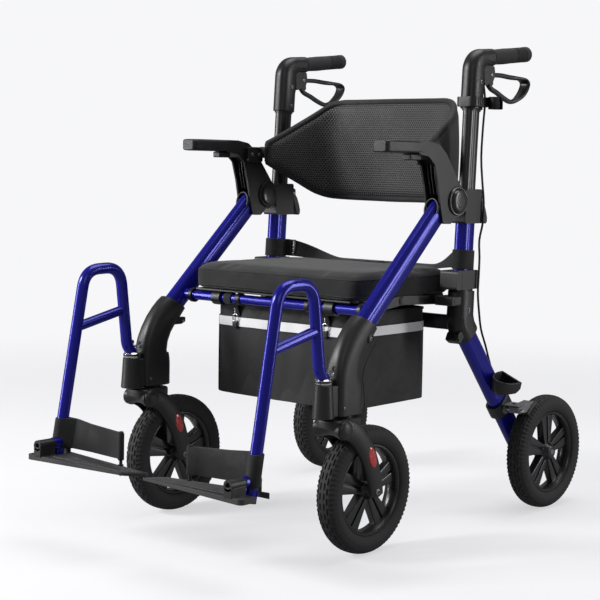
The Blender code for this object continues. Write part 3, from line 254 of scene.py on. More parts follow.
def wire_flat(graph: Graph, takes: dict, gives: dict) -> None:
    """The two coordinates that lie along a surface, by the way that it faces."""
    place = graph.node("SeparateXYZ", {0: graph.node("TexCoord").outputs["Object"]}).outputs
    way = graph.node("SeparateXYZ", {0: graph.node("NewGeometry").outputs["Normal"]}).outputs
    size = [graph.math("ABSOLUTE", axis) for axis in way]
    level = graph.math("GREATER_THAN", size[2], 0.68)
    facing = graph.math("GREATER_THAN", size[0], size[1])
    across = graph.node("Mix", {0: facing, 2: place[0], 3: place[1]}).outputs[0]
    across = graph.node("Mix", {0: level, 2: across, 3: place[0]}).outputs[0]
    along = graph.node("Mix", {0: level, 2: place[2], 3: place[1]}).outputs[0]
    graph.feed(gives["Vector"], graph.node("CombineXYZ", {0: across, 1: along}).outputs[0])


def flat_map(graph: Graph) -> object:
    """The coordinates of wire_flat in this tree."""
    return placed(graph, "lie_of_cloth", {}, ["Vector"], wire_flat)[0]


def wire_weave(graph: Graph, takes: dict, gives: dict) -> None:
    """A plain weave: threads that pass over and under by turns, with a mask that paints shade between them.
    """
    place = graph.node("SeparateXYZ", {0: flat_map(graph)}).outputs
    turn = graph.math("DIVIDE", math.pi, takes["Pitch"])
    warp = graph.math("SINE", graph.times(place[0], turn))
    weft = graph.math("SINE", graph.times(place[1], turn))
    over = graph.math("GREATER_THAN", graph.times(warp, weft), 0.0)
    high = graph.node("Mix", {0: over, 2: graph.math("ABSOLUTE", warp), 3: graph.math("ABSOLUTE", weft)})
    graph.feed(gives["Height"], high.outputs[0])
    # Low places between the threads get the mask's painted shade.
    graph.feed(gives["Mask"], graph.span(high.outputs[0], 0.05, 0.6))


def wire_ribs(graph: Graph, takes: dict, gives: dict) -> None:
    """Webbing: fine ribs along the strap, crossed by the picks of the weave, with a mask that paints shade in
    the valleys between them.
    """
    place = graph.node("SeparateXYZ", {0: flat_map(graph)}).outputs
    turn = graph.math("DIVIDE", math.tau, takes["Pitch"])
    rib = graph.math("SINE", graph.times(place[1], turn))
    pick = graph.math("SINE", graph.times(place[0], graph.times(turn, 1.6)))
    high = graph.plus(graph.times(rib, 0.38), graph.times(pick, 0.12))
    graph.feed(gives["Height"], graph.plus(high, 0.5))
    # The valleys between ribs get the mask's painted shade.
    graph.feed(gives["Mask"], graph.span(graph.plus(high, 0.5), 0.1, 0.7))


def wire_honeycomb(graph: Graph, takes: dict, gives: dict) -> None:
    """Open spacer mesh: rows of round eyes, each set between two of the next row, with a mask that paints
    shade in the eyes.
    """
    place = graph.node("SeparateXYZ", {0: flat_map(graph)}).outputs
    row = math.sqrt(3.0)
    steps = []
    for shift in (0.0, 0.5):
        across = graph.plus(graph.math("DIVIDE", place[0], takes["Pitch"]), shift)
        along = graph.plus(graph.math("DIVIDE", place[1], takes["Pitch"]), shift * row)
        near = [graph.node("Math", {0: value, 1: wide / 2, 2: -wide / 2}, operation="WRAP").outputs[0]
                for value, wide in ((across, 1.0), (along, row))]
        steps.append(graph.math("SQRT", graph.plus(
            graph.times(near[0], near[0]), graph.times(near[1], near[1]))))
    eye = graph.math("MINIMUM", steps[0], steps[1])
    graph.feed(gives["Height"], graph.span(eye, 0.2, 0.5))
    # The eyes get the mask's painted shade.
    graph.feed(gives["Mask"], graph.span(eye, 0.34, 0.44))


class Pattern(Enum):
    """What a finish's surface is made of: the name of its group and what fills it."""

    SMOOTH = None
    WOVEN = ("plain_weave", wire_weave)
    RIBBED = ("webbing_ribs", wire_ribs)
    HONEYCOMB = ("spacer_mesh", wire_honeycomb)


@dataclass(frozen=True)
class Finish:
    """One surface finish: its colour, gloss, fine relief, painted shade in the hollows of its pattern, wear
    and dust.
    """

    name: str
    colour: Colour
    roughness: float = 0.45
    metallic: float = 0.0
    coat: float = 0.0
    sheen: float = 0.0
    grain: float = 0.0005
    depth: float = 0.12
    mottle: float = 0.25
    wear: float = 0.0
    worn: Colour = (0.12, 0.12, 0.12)
    dust: float = 0.1
    pattern: Pattern = Pattern.SMOOTH
    pitch: float = 0.001
    # The colour of the pattern's hollows: painted shade between threads and ribs and in the eyes of a mesh.
    gap: Colour = (0.004, 0.004, 0.004)

    def material(self) -> bpy.types.Material:
        """The material of this finish, made the first time it is asked for.

        Returns:
            The material.
        """
        if self.name in bpy.data.materials:
            return bpy.data.materials[self.name]
        made = bpy.data.materials.new(self.name)
        made.use_nodes = True
        graph = Graph(made.node_tree)
        grain = placed(graph, "fine_grain", {"Size": self.grain}, ["Height", "Mottle"], wire_grain)
        colour, height = self.tinted(graph, grain)
        for amount, name, wire, over in ((self.wear, "edge_wear", wire_wear, self.worn),
                                         (self.dust, "settled_dust", wire_dust, (0.3, 0.28, 0.26))):
            if amount:
                colour = graph.mix(placed(graph, name, {"Amount": amount}, ["Mask"], wire)[0], colour, over)
        rough = graph.span(grain["Mottle"], 0.0, 1.0, self.roughness * 0.9, min(self.roughness * 1.18, 1.0))
        bump = graph.node("Bump", {"Strength": self.depth, "Distance": 0.0006, "Height": height})
        inputs = made.node_tree.nodes["Principled BSDF"].inputs
        for key, value in (("Base Color", colour), ("Roughness", rough), ("Normal", bump.outputs[0]),
                           ("Metallic", self.metallic), ("Coat Weight", self.coat), ("Coat Roughness", 0.08),
                           ("Sheen Weight", self.sheen), ("Sheen Roughness", 0.45)):
            graph.feed(inputs[key], value)
        made.diffuse_color = (*self.colour, 1.0)
        return made

    def tinted(self, graph: Graph, grain: object) -> tuple[object, object]:
        """The base colour before wear, with painted shade in the pattern's hollows, and the relief under it.

        Args:
            graph: The material's graph.
            grain: The grain group's outputs.

        Returns:
            The colour socket and the height socket.
        """
        light = tuple(min(part * (1 + self.mottle), 1.0) for part in self.colour)
        dark = tuple(part * (1 - self.mottle) for part in self.colour)
        colour = graph.mix(grain["Mottle"], dark, light)
        if self.pattern is Pattern.SMOOTH:
            return colour, grain["Height"]
        name, wire = self.pattern.value
        cloth = placed(graph, name, {"Pitch": self.pitch}, ["Height", "Mask"], wire)
        # Where the pattern's relief is low, the colour goes to the hollow colour: painted shade between
        # threads, ribs and mesh eyes.
        colour = graph.mix(cloth["Mask"], self.gap, colour)
        return colour, graph.plus(cloth["Height"], graph.times(grain["Height"], 0.3))


LACQUER = Finish("blue_lacquer", (0.003, 0.003, 0.15), 0.42, coat=0.45, grain=0.0012, depth=0.006,
                 mottle=0.06, wear=0.1, worn=(0.02, 0.02, 0.2), dust=0.01)
ANODISED = Finish("anodised_tube", (0.012, 0.012, 0.013), 0.3, coat=0.3, grain=0.0006,
                  depth=0.04, mottle=0.1, wear=0.1, worn=(0.05, 0.05, 0.05), dust=0.02)
CASTING = Finish("black_casting", (0.012, 0.012, 0.013), 0.32, coat=0.15, grain=0.0007, depth=0.08,
                 wear=0.1, worn=(0.04, 0.04, 0.04), dust=0.03)
MOULDED = Finish("moulded_black", (0.008, 0.008, 0.009), 0.37, grain=0.0005, depth=0.12, mottle=0.15,
                 wear=0.08, worn=(0.04, 0.04, 0.04), dust=0.03)
GREY_MOULDED = Finish("moulded_grey", (0.026, 0.026, 0.028), 0.44, grain=0.0005, depth=0.12, dust=0.03)
GRIP_RUBBER = Finish("grip_rubber", (0.042, 0.042, 0.043), 0.4, grain=0.0007, depth=0.2, dust=0.03)
TYRE_RUBBER = Finish("tyre_rubber", (0.013, 0.013, 0.014), 0.36, grain=0.0009, depth=0.22, mottle=0.2,
                     wear=0.25, worn=(0.045, 0.044, 0.043), dust=0.06)
RIM_PLASTIC = Finish("rim_plastic", (0.01, 0.01, 0.011), 0.28, coat=0.2, grain=0.0006, depth=0.06, dust=0.04)
# The hollow colour of this woven cloth is painted shade between its threads.
SEAT_CLOTH = Finish("seat_cloth", (0.016, 0.016, 0.017), 0.85, sheen=0.2, grain=0.0004, depth=0.3,
                    mottle=0.12, dust=0.03, pattern=Pattern.WOVEN, pitch=0.0009, gap=(0.01, 0.01, 0.011))
# The ribbed binding takes the default hollow colour: painted shade between its ribs.
PIPING = Finish("edge_binding", (0.012, 0.012, 0.013), 0.66, sheen=0.1, depth=0.35,
                dust=0.02, pattern=Pattern.RIBBED, pitch=0.0012)
# The near-black hollow colour of the spacer mesh is painted shade in its open eyes.
SPACER = Finish("spacer_mesh_cloth", (0.09, 0.09, 0.092), 0.55, depth=1.0, mottle=0.1, dust=0.02,
                pattern=Pattern.HONEYCOMB, pitch=0.0054, gap=(0.001, 0.001, 0.001))
# The hollow colour of the bag cloth is painted shade between its threads.
BAG_CLOTH = Finish("bag_cloth", (0.013, 0.013, 0.014), 0.6, sheen=0.1, depth=0.2, mottle=0.12, dust=0.03,
                   pattern=Pattern.WOVEN, pitch=0.0006, gap=(0.01, 0.01, 0.011))
# The webbing takes the default hollow colour: painted shade between its ribs.
WEBBING = Finish("webbing", (0.007, 0.007, 0.008), 0.75, sheen=0.1, depth=0.5, dust=0.02,
                 pattern=Pattern.RIBBED, pitch=0.0016)
# The band's greyer hollow colour is painted shade between its threads.
BAND = Finish("reflective_band", (0.96, 0.96, 0.96), 0.45, mottle=0.02, depth=0.15, dust=0.0,
              pattern=Pattern.WOVEN, pitch=0.0005, gap=(0.86, 0.86, 0.87))
STEEL = Finish("satin_steel", (0.2, 0.2, 0.21), 0.38, metallic=0.6, grain=0.0004, depth=0.08, dust=0.02)
CHROME = Finish("bright_steel", (0.72, 0.72, 0.73), 0.16, metallic=1.0, grain=0.0006, depth=0.03, dust=0.02)
DARK_STEEL = Finish("dark_plate", (0.17, 0.17, 0.175), 0.42, metallic=0.3, depth=0.1, wear=0.1)
REFLECTOR = Finish("red_reflector", (0.58, 0.006, 0.004), 0.2, coat=1.0, grain=0.0028, depth=0.9,
                   mottle=0.35, dust=0.02)
PLATE_GRIP = Finish("ribbed_plate", (0.03, 0.03, 0.031), 0.42, grain=0.0005, depth=0.15, wear=0.15, dust=0.05)


# Mesh building


def lofted(rings: Sequence[Sequence[Vector]], closed: bool = False, capped: bool = True) -> Mesh:
    """A mesh through rings of equal count.

    Args:
        rings: The rings, in order.
        closed: Whether the last ring joins the first.
        capped: Whether the ends are filled.

    Returns:
        The mesh, its faces pointing out.
    """
    bm = bmesh.new()
    made = [[bm.verts.new(point) for point in ring] for ring in rings]
    runs = list(zip(made, made[1:]))
    if closed:
        runs.append((made[-1], made[0]))
    elif capped:
        bm.faces.new(made[0])
        bm.faces.new(made[-1])
    count = len(made[0])
    for first, second in runs:
        for i in range(count):
            j = (i + 1) % count
            bm.faces.new((first[i], first[j], second[j], second[i]))
    bmesh.ops.recalc_face_normals(bm, faces=bm.faces)
    return finished(bm)


def meshed(bm: bmesh.types.BMesh, name: str = "shape") -> Mesh:
    """A mesh from a bmesh, which is freed."""
    mesh = bpy.data.meshes.new(name)
    bm.to_mesh(mesh)
    bm.free()
    return mesh


def finished(bm: bmesh.types.BMesh) -> Mesh:
    """A mesh from a closed bmesh, turned the right way out."""
    if bm.calc_volume(signed=True) < 0:
        bmesh.ops.reverse_faces(bm, faces=bm.faces)
    return meshed(bm)


def oval(centre: Vector, wide_axis: Vector, deep_axis: Vector, wide: float, deep: float,
         count: int = 32, square: float = 2.0, flutes: Sequence[float] = ()) -> list[Vector]:
    """A ring round an oval or a rounded rectangle.

    Args:
        centre: Its middle.
        wide_axis: The unit direction of its width.
        deep_axis: The unit direction of its depth.
        wide: Full width.
        deep: Full depth.
        count: Points round it.
        square: 2 for an oval, more for squarer corners.
        flutes: Angles in degrees at which a shallow groove runs.

    Returns:
        The ring's points.
    """
    ring = []
    for i in range(count):
        angle = math.tau * i / count
        c, s = math.cos(angle), math.sin(angle)
        reach = (abs(c) ** square + abs(s) ** square) ** (-1.0 / square)
        for flute in flutes:
            off = (math.degrees(angle) - flute + 180.0) % 360.0 - 180.0
            reach *= 1.0 - 0.045 * math.exp(-(off / 3.2) ** 2)
        ring.append(centre + wide_axis * (c * reach * wide / 2) + deep_axis * (s * reach * deep / 2))
    return ring


def at(point: Pair, x: float = FRAME_X) -> Vector:
    """The (y, z) point on the plane of this x."""
    return Vector((x, point[0], point[1]))


def across(points: Sequence[Vector], i: int) -> Vector:
    """The unit direction across a path in one (y, z) plane, stretched at a bend."""
    before = points[i] - points[max(i - 1, 0)]
    after = points[min(i + 1, len(points) - 1)] - points[i]
    before = (before if before.length else after).normalized()
    after = (after if after.length else before).normalized()
    along = (before + after).normalized()
    return X.cross(along).normalized() / max(along.dot(before), 0.5)


def swept(points: Sequence[Vector], wide: float | Sequence[float], deep: float | Sequence[float],
          count: int = 32, square: float = 2.0, flutes: Sequence[float] = ()) -> Mesh:
    """A tube along points of one (y, z) plane.

    Args:
        points: The centre line.
        wide: Full width across the plane, one value or one for each point.
        deep: Full depth within the plane, likewise.
        count: Points round it.
        square: How square its section is.
        flutes: Where grooves run, in degrees.

    Returns:
        The mesh.
    """
    wides = [wide] * len(points) if isinstance(wide, float) else list(wide)
    deeps = [deep] * len(points) if isinstance(deep, float) else list(deep)
    return lofted([oval(p, X, across(points, i), wides[i], deeps[i], count, square, flutes)
                   for i, p in enumerate(points)])


def piped(points: Sequence[Vector], radius: float, count: int = 12, closed: bool = False) -> Mesh:
    """A round pipe along any path.

    Args:
        points: The centre line.
        radius: Its radius.
        count: Points round it.
        closed: Whether it joins itself.

    Returns:
        The mesh.
    """
    rings, up = [], None
    total = len(points)
    for i, point in enumerate(points):
        last = points[i - 1] if closed or i else point
        nxt = points[(i + 1) % total] if closed or i < total - 1 else point
        along = (nxt - last).normalized()
        side = along.cross(along.orthogonal() if up is None else up).normalized()
        up = side.cross(along).normalized()
        rings.append(oval(point, side, up, 2 * radius, 2 * radius, count))
    return lofted(rings, closed)


def rod(start: Sequence[float], end: Sequence[float], radius: float, count: int = 24,
        edge: float = 0.0) -> Mesh:
    """A round bar with softened ends.

    Args:
        start: One end.
        end: The other end.
        radius: Its radius.
        count: Points round it.
        edge: The size of the chamfer at its ends.

    Returns:
        The mesh.
    """
    first, last = Vector(start), Vector(end)
    along = (last - first).normalized()
    side = along.orthogonal().normalized()
    up = along.cross(side)
    steps = [(first, radius), (last, radius)]
    if edge:
        steps = [(first, radius - edge), (first + along * edge, radius), (last - along * edge, radius),
                 (last, radius - edge)]
    return lofted([oval(p, side, up, 2 * r, 2 * r, count) for p, r in steps])


def bar(place: Pair, low: float, high: float, radius: float, count: int = 24, edge: float = 0.0) -> Mesh:
    """A round bar along X through a (y, z) place, from x = low to x = high."""
    return rod(at(place, low), at(place, high), radius, count, edge)


def turned(profile: Sequence[Pair], centre: Sequence[float], axis: Vector = X, count: int = 32,
           closed: bool = False) -> Mesh:
    """Revolves (distance, radius) points about an axis through a centre.

    Args:
        profile: Distances along the axis, with radii.
        centre: A point of the axis.
        axis: X or Z.
        count: Points round it.
        closed: Whether the profile is a closed loop.

    Returns:
        The mesh.
    """
    side, up = (Y, Z) if axis == X else (X, Y)
    middle = Vector(centre)
    return lofted([oval(middle + axis * a, side, up, 2 * r, 2 * r, count) for a, r in profile], closed)


def softened(mesh: Mesh, width: float, steps: int = 3, angle: float = 60.0) -> Mesh:
    """Rounds a mesh's sharp edges.

    Args:
        mesh: The mesh, changed in place.
        width: The size of the round.
        steps: Faces across it.
        angle: Edges sharper than this many degrees are rounded.

    Returns:
        The same mesh.
    """
    bm = bmesh.new()
    bm.from_mesh(mesh)
    edges = [e for e in bm.edges if len(e.link_faces) == 2 and e.calc_face_angle(0.0) > math.radians(angle)]
    bmesh.ops.bevel(bm, geom=edges, offset=width, segments=steps, profile=0.5, affect="EDGES",
                    clamp_overlap=True)
    bm.to_mesh(mesh)
    bm.free()
    return mesh


def plate(outline: Sequence[Pair], low: float, high: float, edge: float, steps: int = 3) -> Mesh:
    """A (y, z) outline as a solid from x = low to x = high, its rims rounded."""
    mesh = lofted([[Vector((x, y, z)) for y, z in outline] for x in (low, high)])
    return softened(mesh, edge, steps) if edge else mesh


def level_plate(outline: Sequence[Pair], low: float, high: float, edge: float) -> Mesh:
    """An (x, y) outline as a solid from z = low to z = high, its rims rounded."""
    mesh = lofted([[Vector((x, y, z)) for x, y in outline] for z in (low, high)])
    return softened(mesh, edge) if edge else mesh


def side_plate(corners: Sequence[Pair], radius: float, low: float, high: float, edge: float) -> Mesh:
    """A plate with rounded (y, z) corners, its x measured from the middle of the side frame."""
    return plate(rounded(corners, radius), FRAME_X + low, FRAME_X + high, edge)


def block(low: Sequence[float], high: Sequence[float], edge: float) -> Mesh:
    """A box between two corners, every edge rounded."""
    outline = [(low[1], low[2]), (high[1], low[2]), (high[1], high[2]), (low[1], high[2])]
    return plate(outline, low[0], high[0], edge)


def turn_at(before: Vector, here: Vector, after: Vector, radius: float, steps: int) -> list[Vector]:
    """The points of a rounded corner.

    Args:
        before: The corner before it.
        here: The corner.
        after: The corner after it.
        radius: Its radius.
        steps: Stretches on it.

    Returns:
        The points.
    """
    back, on = before - here, after - here
    reach = min(radius / math.tan(back.angle(on) / 2), back.length * 0.49, on.length * 0.49)
    first, last = here + back.normalized() * reach, here + on.normalized() * reach
    shares = [step / steps for step in range(steps + 1)]
    return [first * (1 - t) ** 2 + here * 2 * t * (1 - t) + last * t ** 2 for t in shares]


def rounded(corners: Sequence[Pair], radius: float | Sequence[float], steps: int = 6) -> list[Pair]:
    """A closed outline with each corner turned into an arc.

    Args:
        corners: The outline's corners.
        radius: One radius, or one for each corner.
        steps: Points on each arc.

    Returns:
        The outline.
    """
    sizes = [radius] * len(corners) if isinstance(radius, float) else radius
    outline = []
    for i, size in enumerate(sizes):
        near = (Vector(corners[i - 1]), Vector(corners[i]), Vector(corners[(i + 1) % len(corners)]))
        outline += [tuple(p) for p in turn_at(*near, size, steps)]
    return outline


def bent(points: Sequence[Vector], radius: float, steps: int = 10) -> list[Vector]:
    """An open path whose inner corners are turned into arcs."""
    path = [points[0]]
    for near in zip(points, points[1:], points[2:]):
        path += turn_at(*near, radius, steps)
    return [*path, points[-1]]


def smooth(points: Sequence[Sequence[float]], steps: int = 6, closed: bool = False) -> list[Vector]:
    """Points on a smooth curve through these points.

    Args:
        points: The points that it passes.
        steps: Points for each stretch.
        closed: Whether it comes back to its start.

    Returns:
        The finer path.
    """
    pts = [Vector(p) for p in points]
    line = [pts[-1], *pts, pts[0], pts[1]] if closed else [pts[0] * 2 - pts[1], *pts, pts[-1] * 2 - pts[-2]]
    path = []
    for a, b, c, d in zip(line, line[1:], line[2:], line[3:]):
        for step in range(steps):
            t = step / steps
            path.append(0.5 * (2 * b + (c - a) * t + (2 * a - 5 * b + 4 * c - d) * t ** 2
                               + (3 * b - a - 3 * c + d) * t ** 3))
    return path if closed else [*path, pts[-1]]


def curved(corners: Sequence[Pair], steps: int = 5) -> list[Pair]:
    """A closed outline as a smooth curve through its corners."""
    return [tuple(p)[:2] for p in smooth([(a, b, 0) for a, b in corners], steps, True)]


def arc(centre: Pair, radius: float, start: float, end: float, steps: int = 12) -> list[Pair]:
    """Points round an arc, its angles in degrees from the first axis towards the second."""
    angles = [math.radians(start + (end - start) * i / steps) for i in range(steps + 1)]
    return [(centre[0] + radius * math.cos(a), centre[1] + radius * math.sin(a)) for a in angles]


def ramp(distance: float, length: float) -> float:
    """How far along a stretch a distance is, from 0 to 1."""
    return min(max(distance / length, 0.0), 1.0)


def eased(distance: float, length: float) -> float:
    """How far along a stretch a distance is, with a gentle start and end."""
    share = ramp(distance, length)
    return share * share * (3 - 2 * share)


def post(z: float) -> Vector:
    """The leaning post's centre at this height."""
    return Vector((FRAME_X, POST_FOOT[0] + POST_LEAN * (z - POST_FOOT[1]), z))


def leg(z: float) -> Vector:
    """The lower leg's centre at this height."""
    return Vector((FRAME_X, POST_FOOT[0] + LEG_SLOPE * (z - POST_FOOT[1]), z))


def screw(centre: Sequence[float], way: Vector, radius: float = 0.0042) -> Mesh:
    """A domed screw head with a ring round its socket.

    Args:
        centre: Where it meets the surface.
        way: The unit direction that it faces.
        radius: The head's radius.

    Returns:
        The mesh.
    """
    middle = Vector(centre)
    side = way.orthogonal().normalized()
    up = way.cross(side)
    steps = [(-0.4, 1.0), (0.12, 1.0), (0.32, 0.86), (0.4, 0.55), (0.4, 0.5), (0.02, 0.42)]
    return lofted([oval(middle + way * (radius * a), side, up, 2 * radius * r, 2 * radius * r, 18)
                   for a, r in steps])


# Pieces


def make(name: str, parts: Sequence[tuple], body: str, stands_for: Sequence[str] = (),
         mirror: bool = False, crease: float = 40.0) -> bpy.types.Object:
    """Joins parts into one piece that rides on a body.

    Args:
        name: The piece's name.
        parts: Each a finish, then the meshes that have it.
        body: The body that it moves with.
        stands_for: The nodes that it replaces.
        mirror: Whether it is the mirror image across x = 0.
        crease: Edges sharper than this many degrees stay sharp.

    Returns:
        The piece.
    """
    finishes = list(dict.fromkeys(finish for finish, *_ in parts))
    bm = bmesh.new()
    for finish, *meshes in parts:
        known = len(bm.faces)
        for mesh in meshes:
            bm.from_mesh(mesh)
        bm.faces.ensure_lookup_table()
        for face in bm.faces[known:]:
            face.material_index = finishes.index(finish)
    if mirror:
        bmesh.ops.transform(bm, matrix=Matrix.Diagonal((-1, 1, 1, 1)), verts=bm.verts)
        bmesh.ops.reverse_faces(bm, faces=bm.faces)
    mesh = meshed(bm, name)
    for finish in finishes:
        mesh.materials.append(finish.material())
    mesh.shade_smooth()
    mesh.set_sharp_from_angle(angle=math.radians(crease))
    made = shown(name, mesh)
    made.modifiers.new("even_shading", "WEIGHTED_NORMAL").keep_sharp = True
    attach(made, body)
    if stands_for:
        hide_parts(*stands_for)
    LOG.info("%s rides on %s", name, body)
    return made


def make_pair(name: str, parts: Sequence[tuple], body: str, stem: str = "",
              crease: float = 40.0) -> list[bpy.types.Object]:
    """Makes a piece on each side.

    Args:
        name: The pieces' name, before the side.
        parts: The meshes of the +X side.
        body: The body's name, before the side where it has one.
        stem: The node that they replace, before the side.
        crease: Edges sharper than this stay sharp.

    Returns:
        The left and the right piece.
    """
    made = []
    for side in Side:
        own = f"{body}_{side.word}"
        made.append(make(f"{name}_{side.word}", parts, own if own in frame["bodies"] else body,
                         [f"{stem}_{side.word}"] if stem else [], side is Side.RIGHT, crease))
    return made


def freed(made: bpy.types.Object) -> None:
    """Takes a soft piece off its body and clears its modifiers."""
    made.modifiers.clear()
    made.parent = None


def shown(name: str, data: bpy.types.ID) -> bpy.types.Object:
    """A new object of the scene."""
    made = bpy.data.objects.new(name, data)
    bpy.context.scene.collection.objects.link(made)
    return made


def carved(body: Mesh, cutters: Sequence[Mesh], edge: float, steps: int = 3, angle: float = 60.0) -> Mesh:
    """A mesh with shapes taken out of it, its edges rounded after that.

    Args:
        body: The mesh.
        cutters: The shapes.
        edge: The size of the round.
        steps: Faces across it.
        angle: Edges sharper than this many degrees are rounded.

    Returns:
        The new mesh.
    """
    helpers = [shown("helper", mesh) for mesh in (body, *cutters)]
    for helper in helpers[1:]:
        cut = helpers[0].modifiers.new("cut", "BOOLEAN")
        cut.object, cut.operation, cut.solver = helper, "DIFFERENCE", "EXACT"
    bpy.context.view_layer.update()
    graph = bpy.context.evaluated_depsgraph_get()
    mesh = bpy.data.meshes.new_from_object(helpers[0].evaluated_get(graph))
    mesh.materials.clear()
    for helper in helpers:
        bpy.data.objects.remove(helper, do_unlink=True)
    return softened(mesh, edge, steps, angle)


# Sub-assemblies


@dataclass
class SideFrames:
    """The lacquered tubes of both side frames, the rod between them and the telescoping posts."""

    tube_wide: float = 0.03
    tube_deep: float = 0.046
    post_top: float = 0.664
    leg_end: float = 0.112
    front_top: Pair = (0.0579, 0.6274)
    front_foot: Pair = (-0.161, 0.4205)
    rod_radius: float = 0.0095

    def build(self) -> None:
        """Builds the rear legs, the front tubes and the handle posts."""
        path = bent([post(self.post_top), at(POST_FOOT), leg(self.leg_end)], 0.05)
        run = swept(path, self.tube_wide, self.tube_deep, 72, TUBE_SQUARE, TUBE_FLUTES)
        toe = side_plate([(0.319, 0.15), (0.36, 0.15), (0.398, 0.1275), (0.392, 0.101), (0.339, 0.105)],
                         0.01, -0.0135, 0.0135, 0.004)
        plug = swept([leg(self.leg_end + 0.004), leg(self.leg_end - 0.0012)], 0.0292, 0.045, 40, TUBE_SQUARE)
        stub = bar(REAR_AXLE, FRAME_X, 0.319, 0.006, edge=0.001)
        bolt = screw((FRAME_X - 0.0135, *REAR_AXLE), -X, 0.0068)
        make_pair("rear_tube", [(LACQUER, run, toe), (MOULDED, plug), (STEEL, stub), (CHROME, bolt)],
                  "rear_frame", "rear_leg")
        self.front()
        sheath = swept([post(0.602), post(0.899)], 0.0245, 0.04, 72, 2.5,
                       (-26.0, 0.0, 26.0, 154.0, 180.0, 206.0))
        collar = swept([post(0.8205), post(0.8245)], 0.029, 0.044, 48, 2.5)
        make_pair("handle_post", [(ANODISED, sheath), (MOULDED, collar)], "handle", "handle_tube")

    def front(self) -> None:
        """The sloping front tubes, welded to the cross rod, and the rod's stop rings."""
        parts = []
        for side in Side:
            way = side.value
            tube = swept([at(p, way * FRAME_X) for p in (self.front_top, self.front_foot)], 0.028, 0.045, 72,
                         TUBE_SQUARE, TUBE_FLUTES)
            flare = lofted([oval(at(ROD, way * (FRAME_X - d)), Y, Z, w, h, 32) for d, w, h in (
                (0.013, 0.03, 0.024), (0.023, 0.028, 0.022), (0.037, 0.0205, 0.0198))])
            stop = bar(ROD, way * 0.086, way * 0.098, self.rod_radius + 0.0024, edge=0.001)
            parts += [(LACQUER, tube, flare), (MOULDED, stop)]
        parts.append((LACQUER, bar(ROD, -0.242, 0.242, self.rod_radius, 36)))
        make("front_tubes_and_rod", parts, "front_frame", ["front_tubes"])


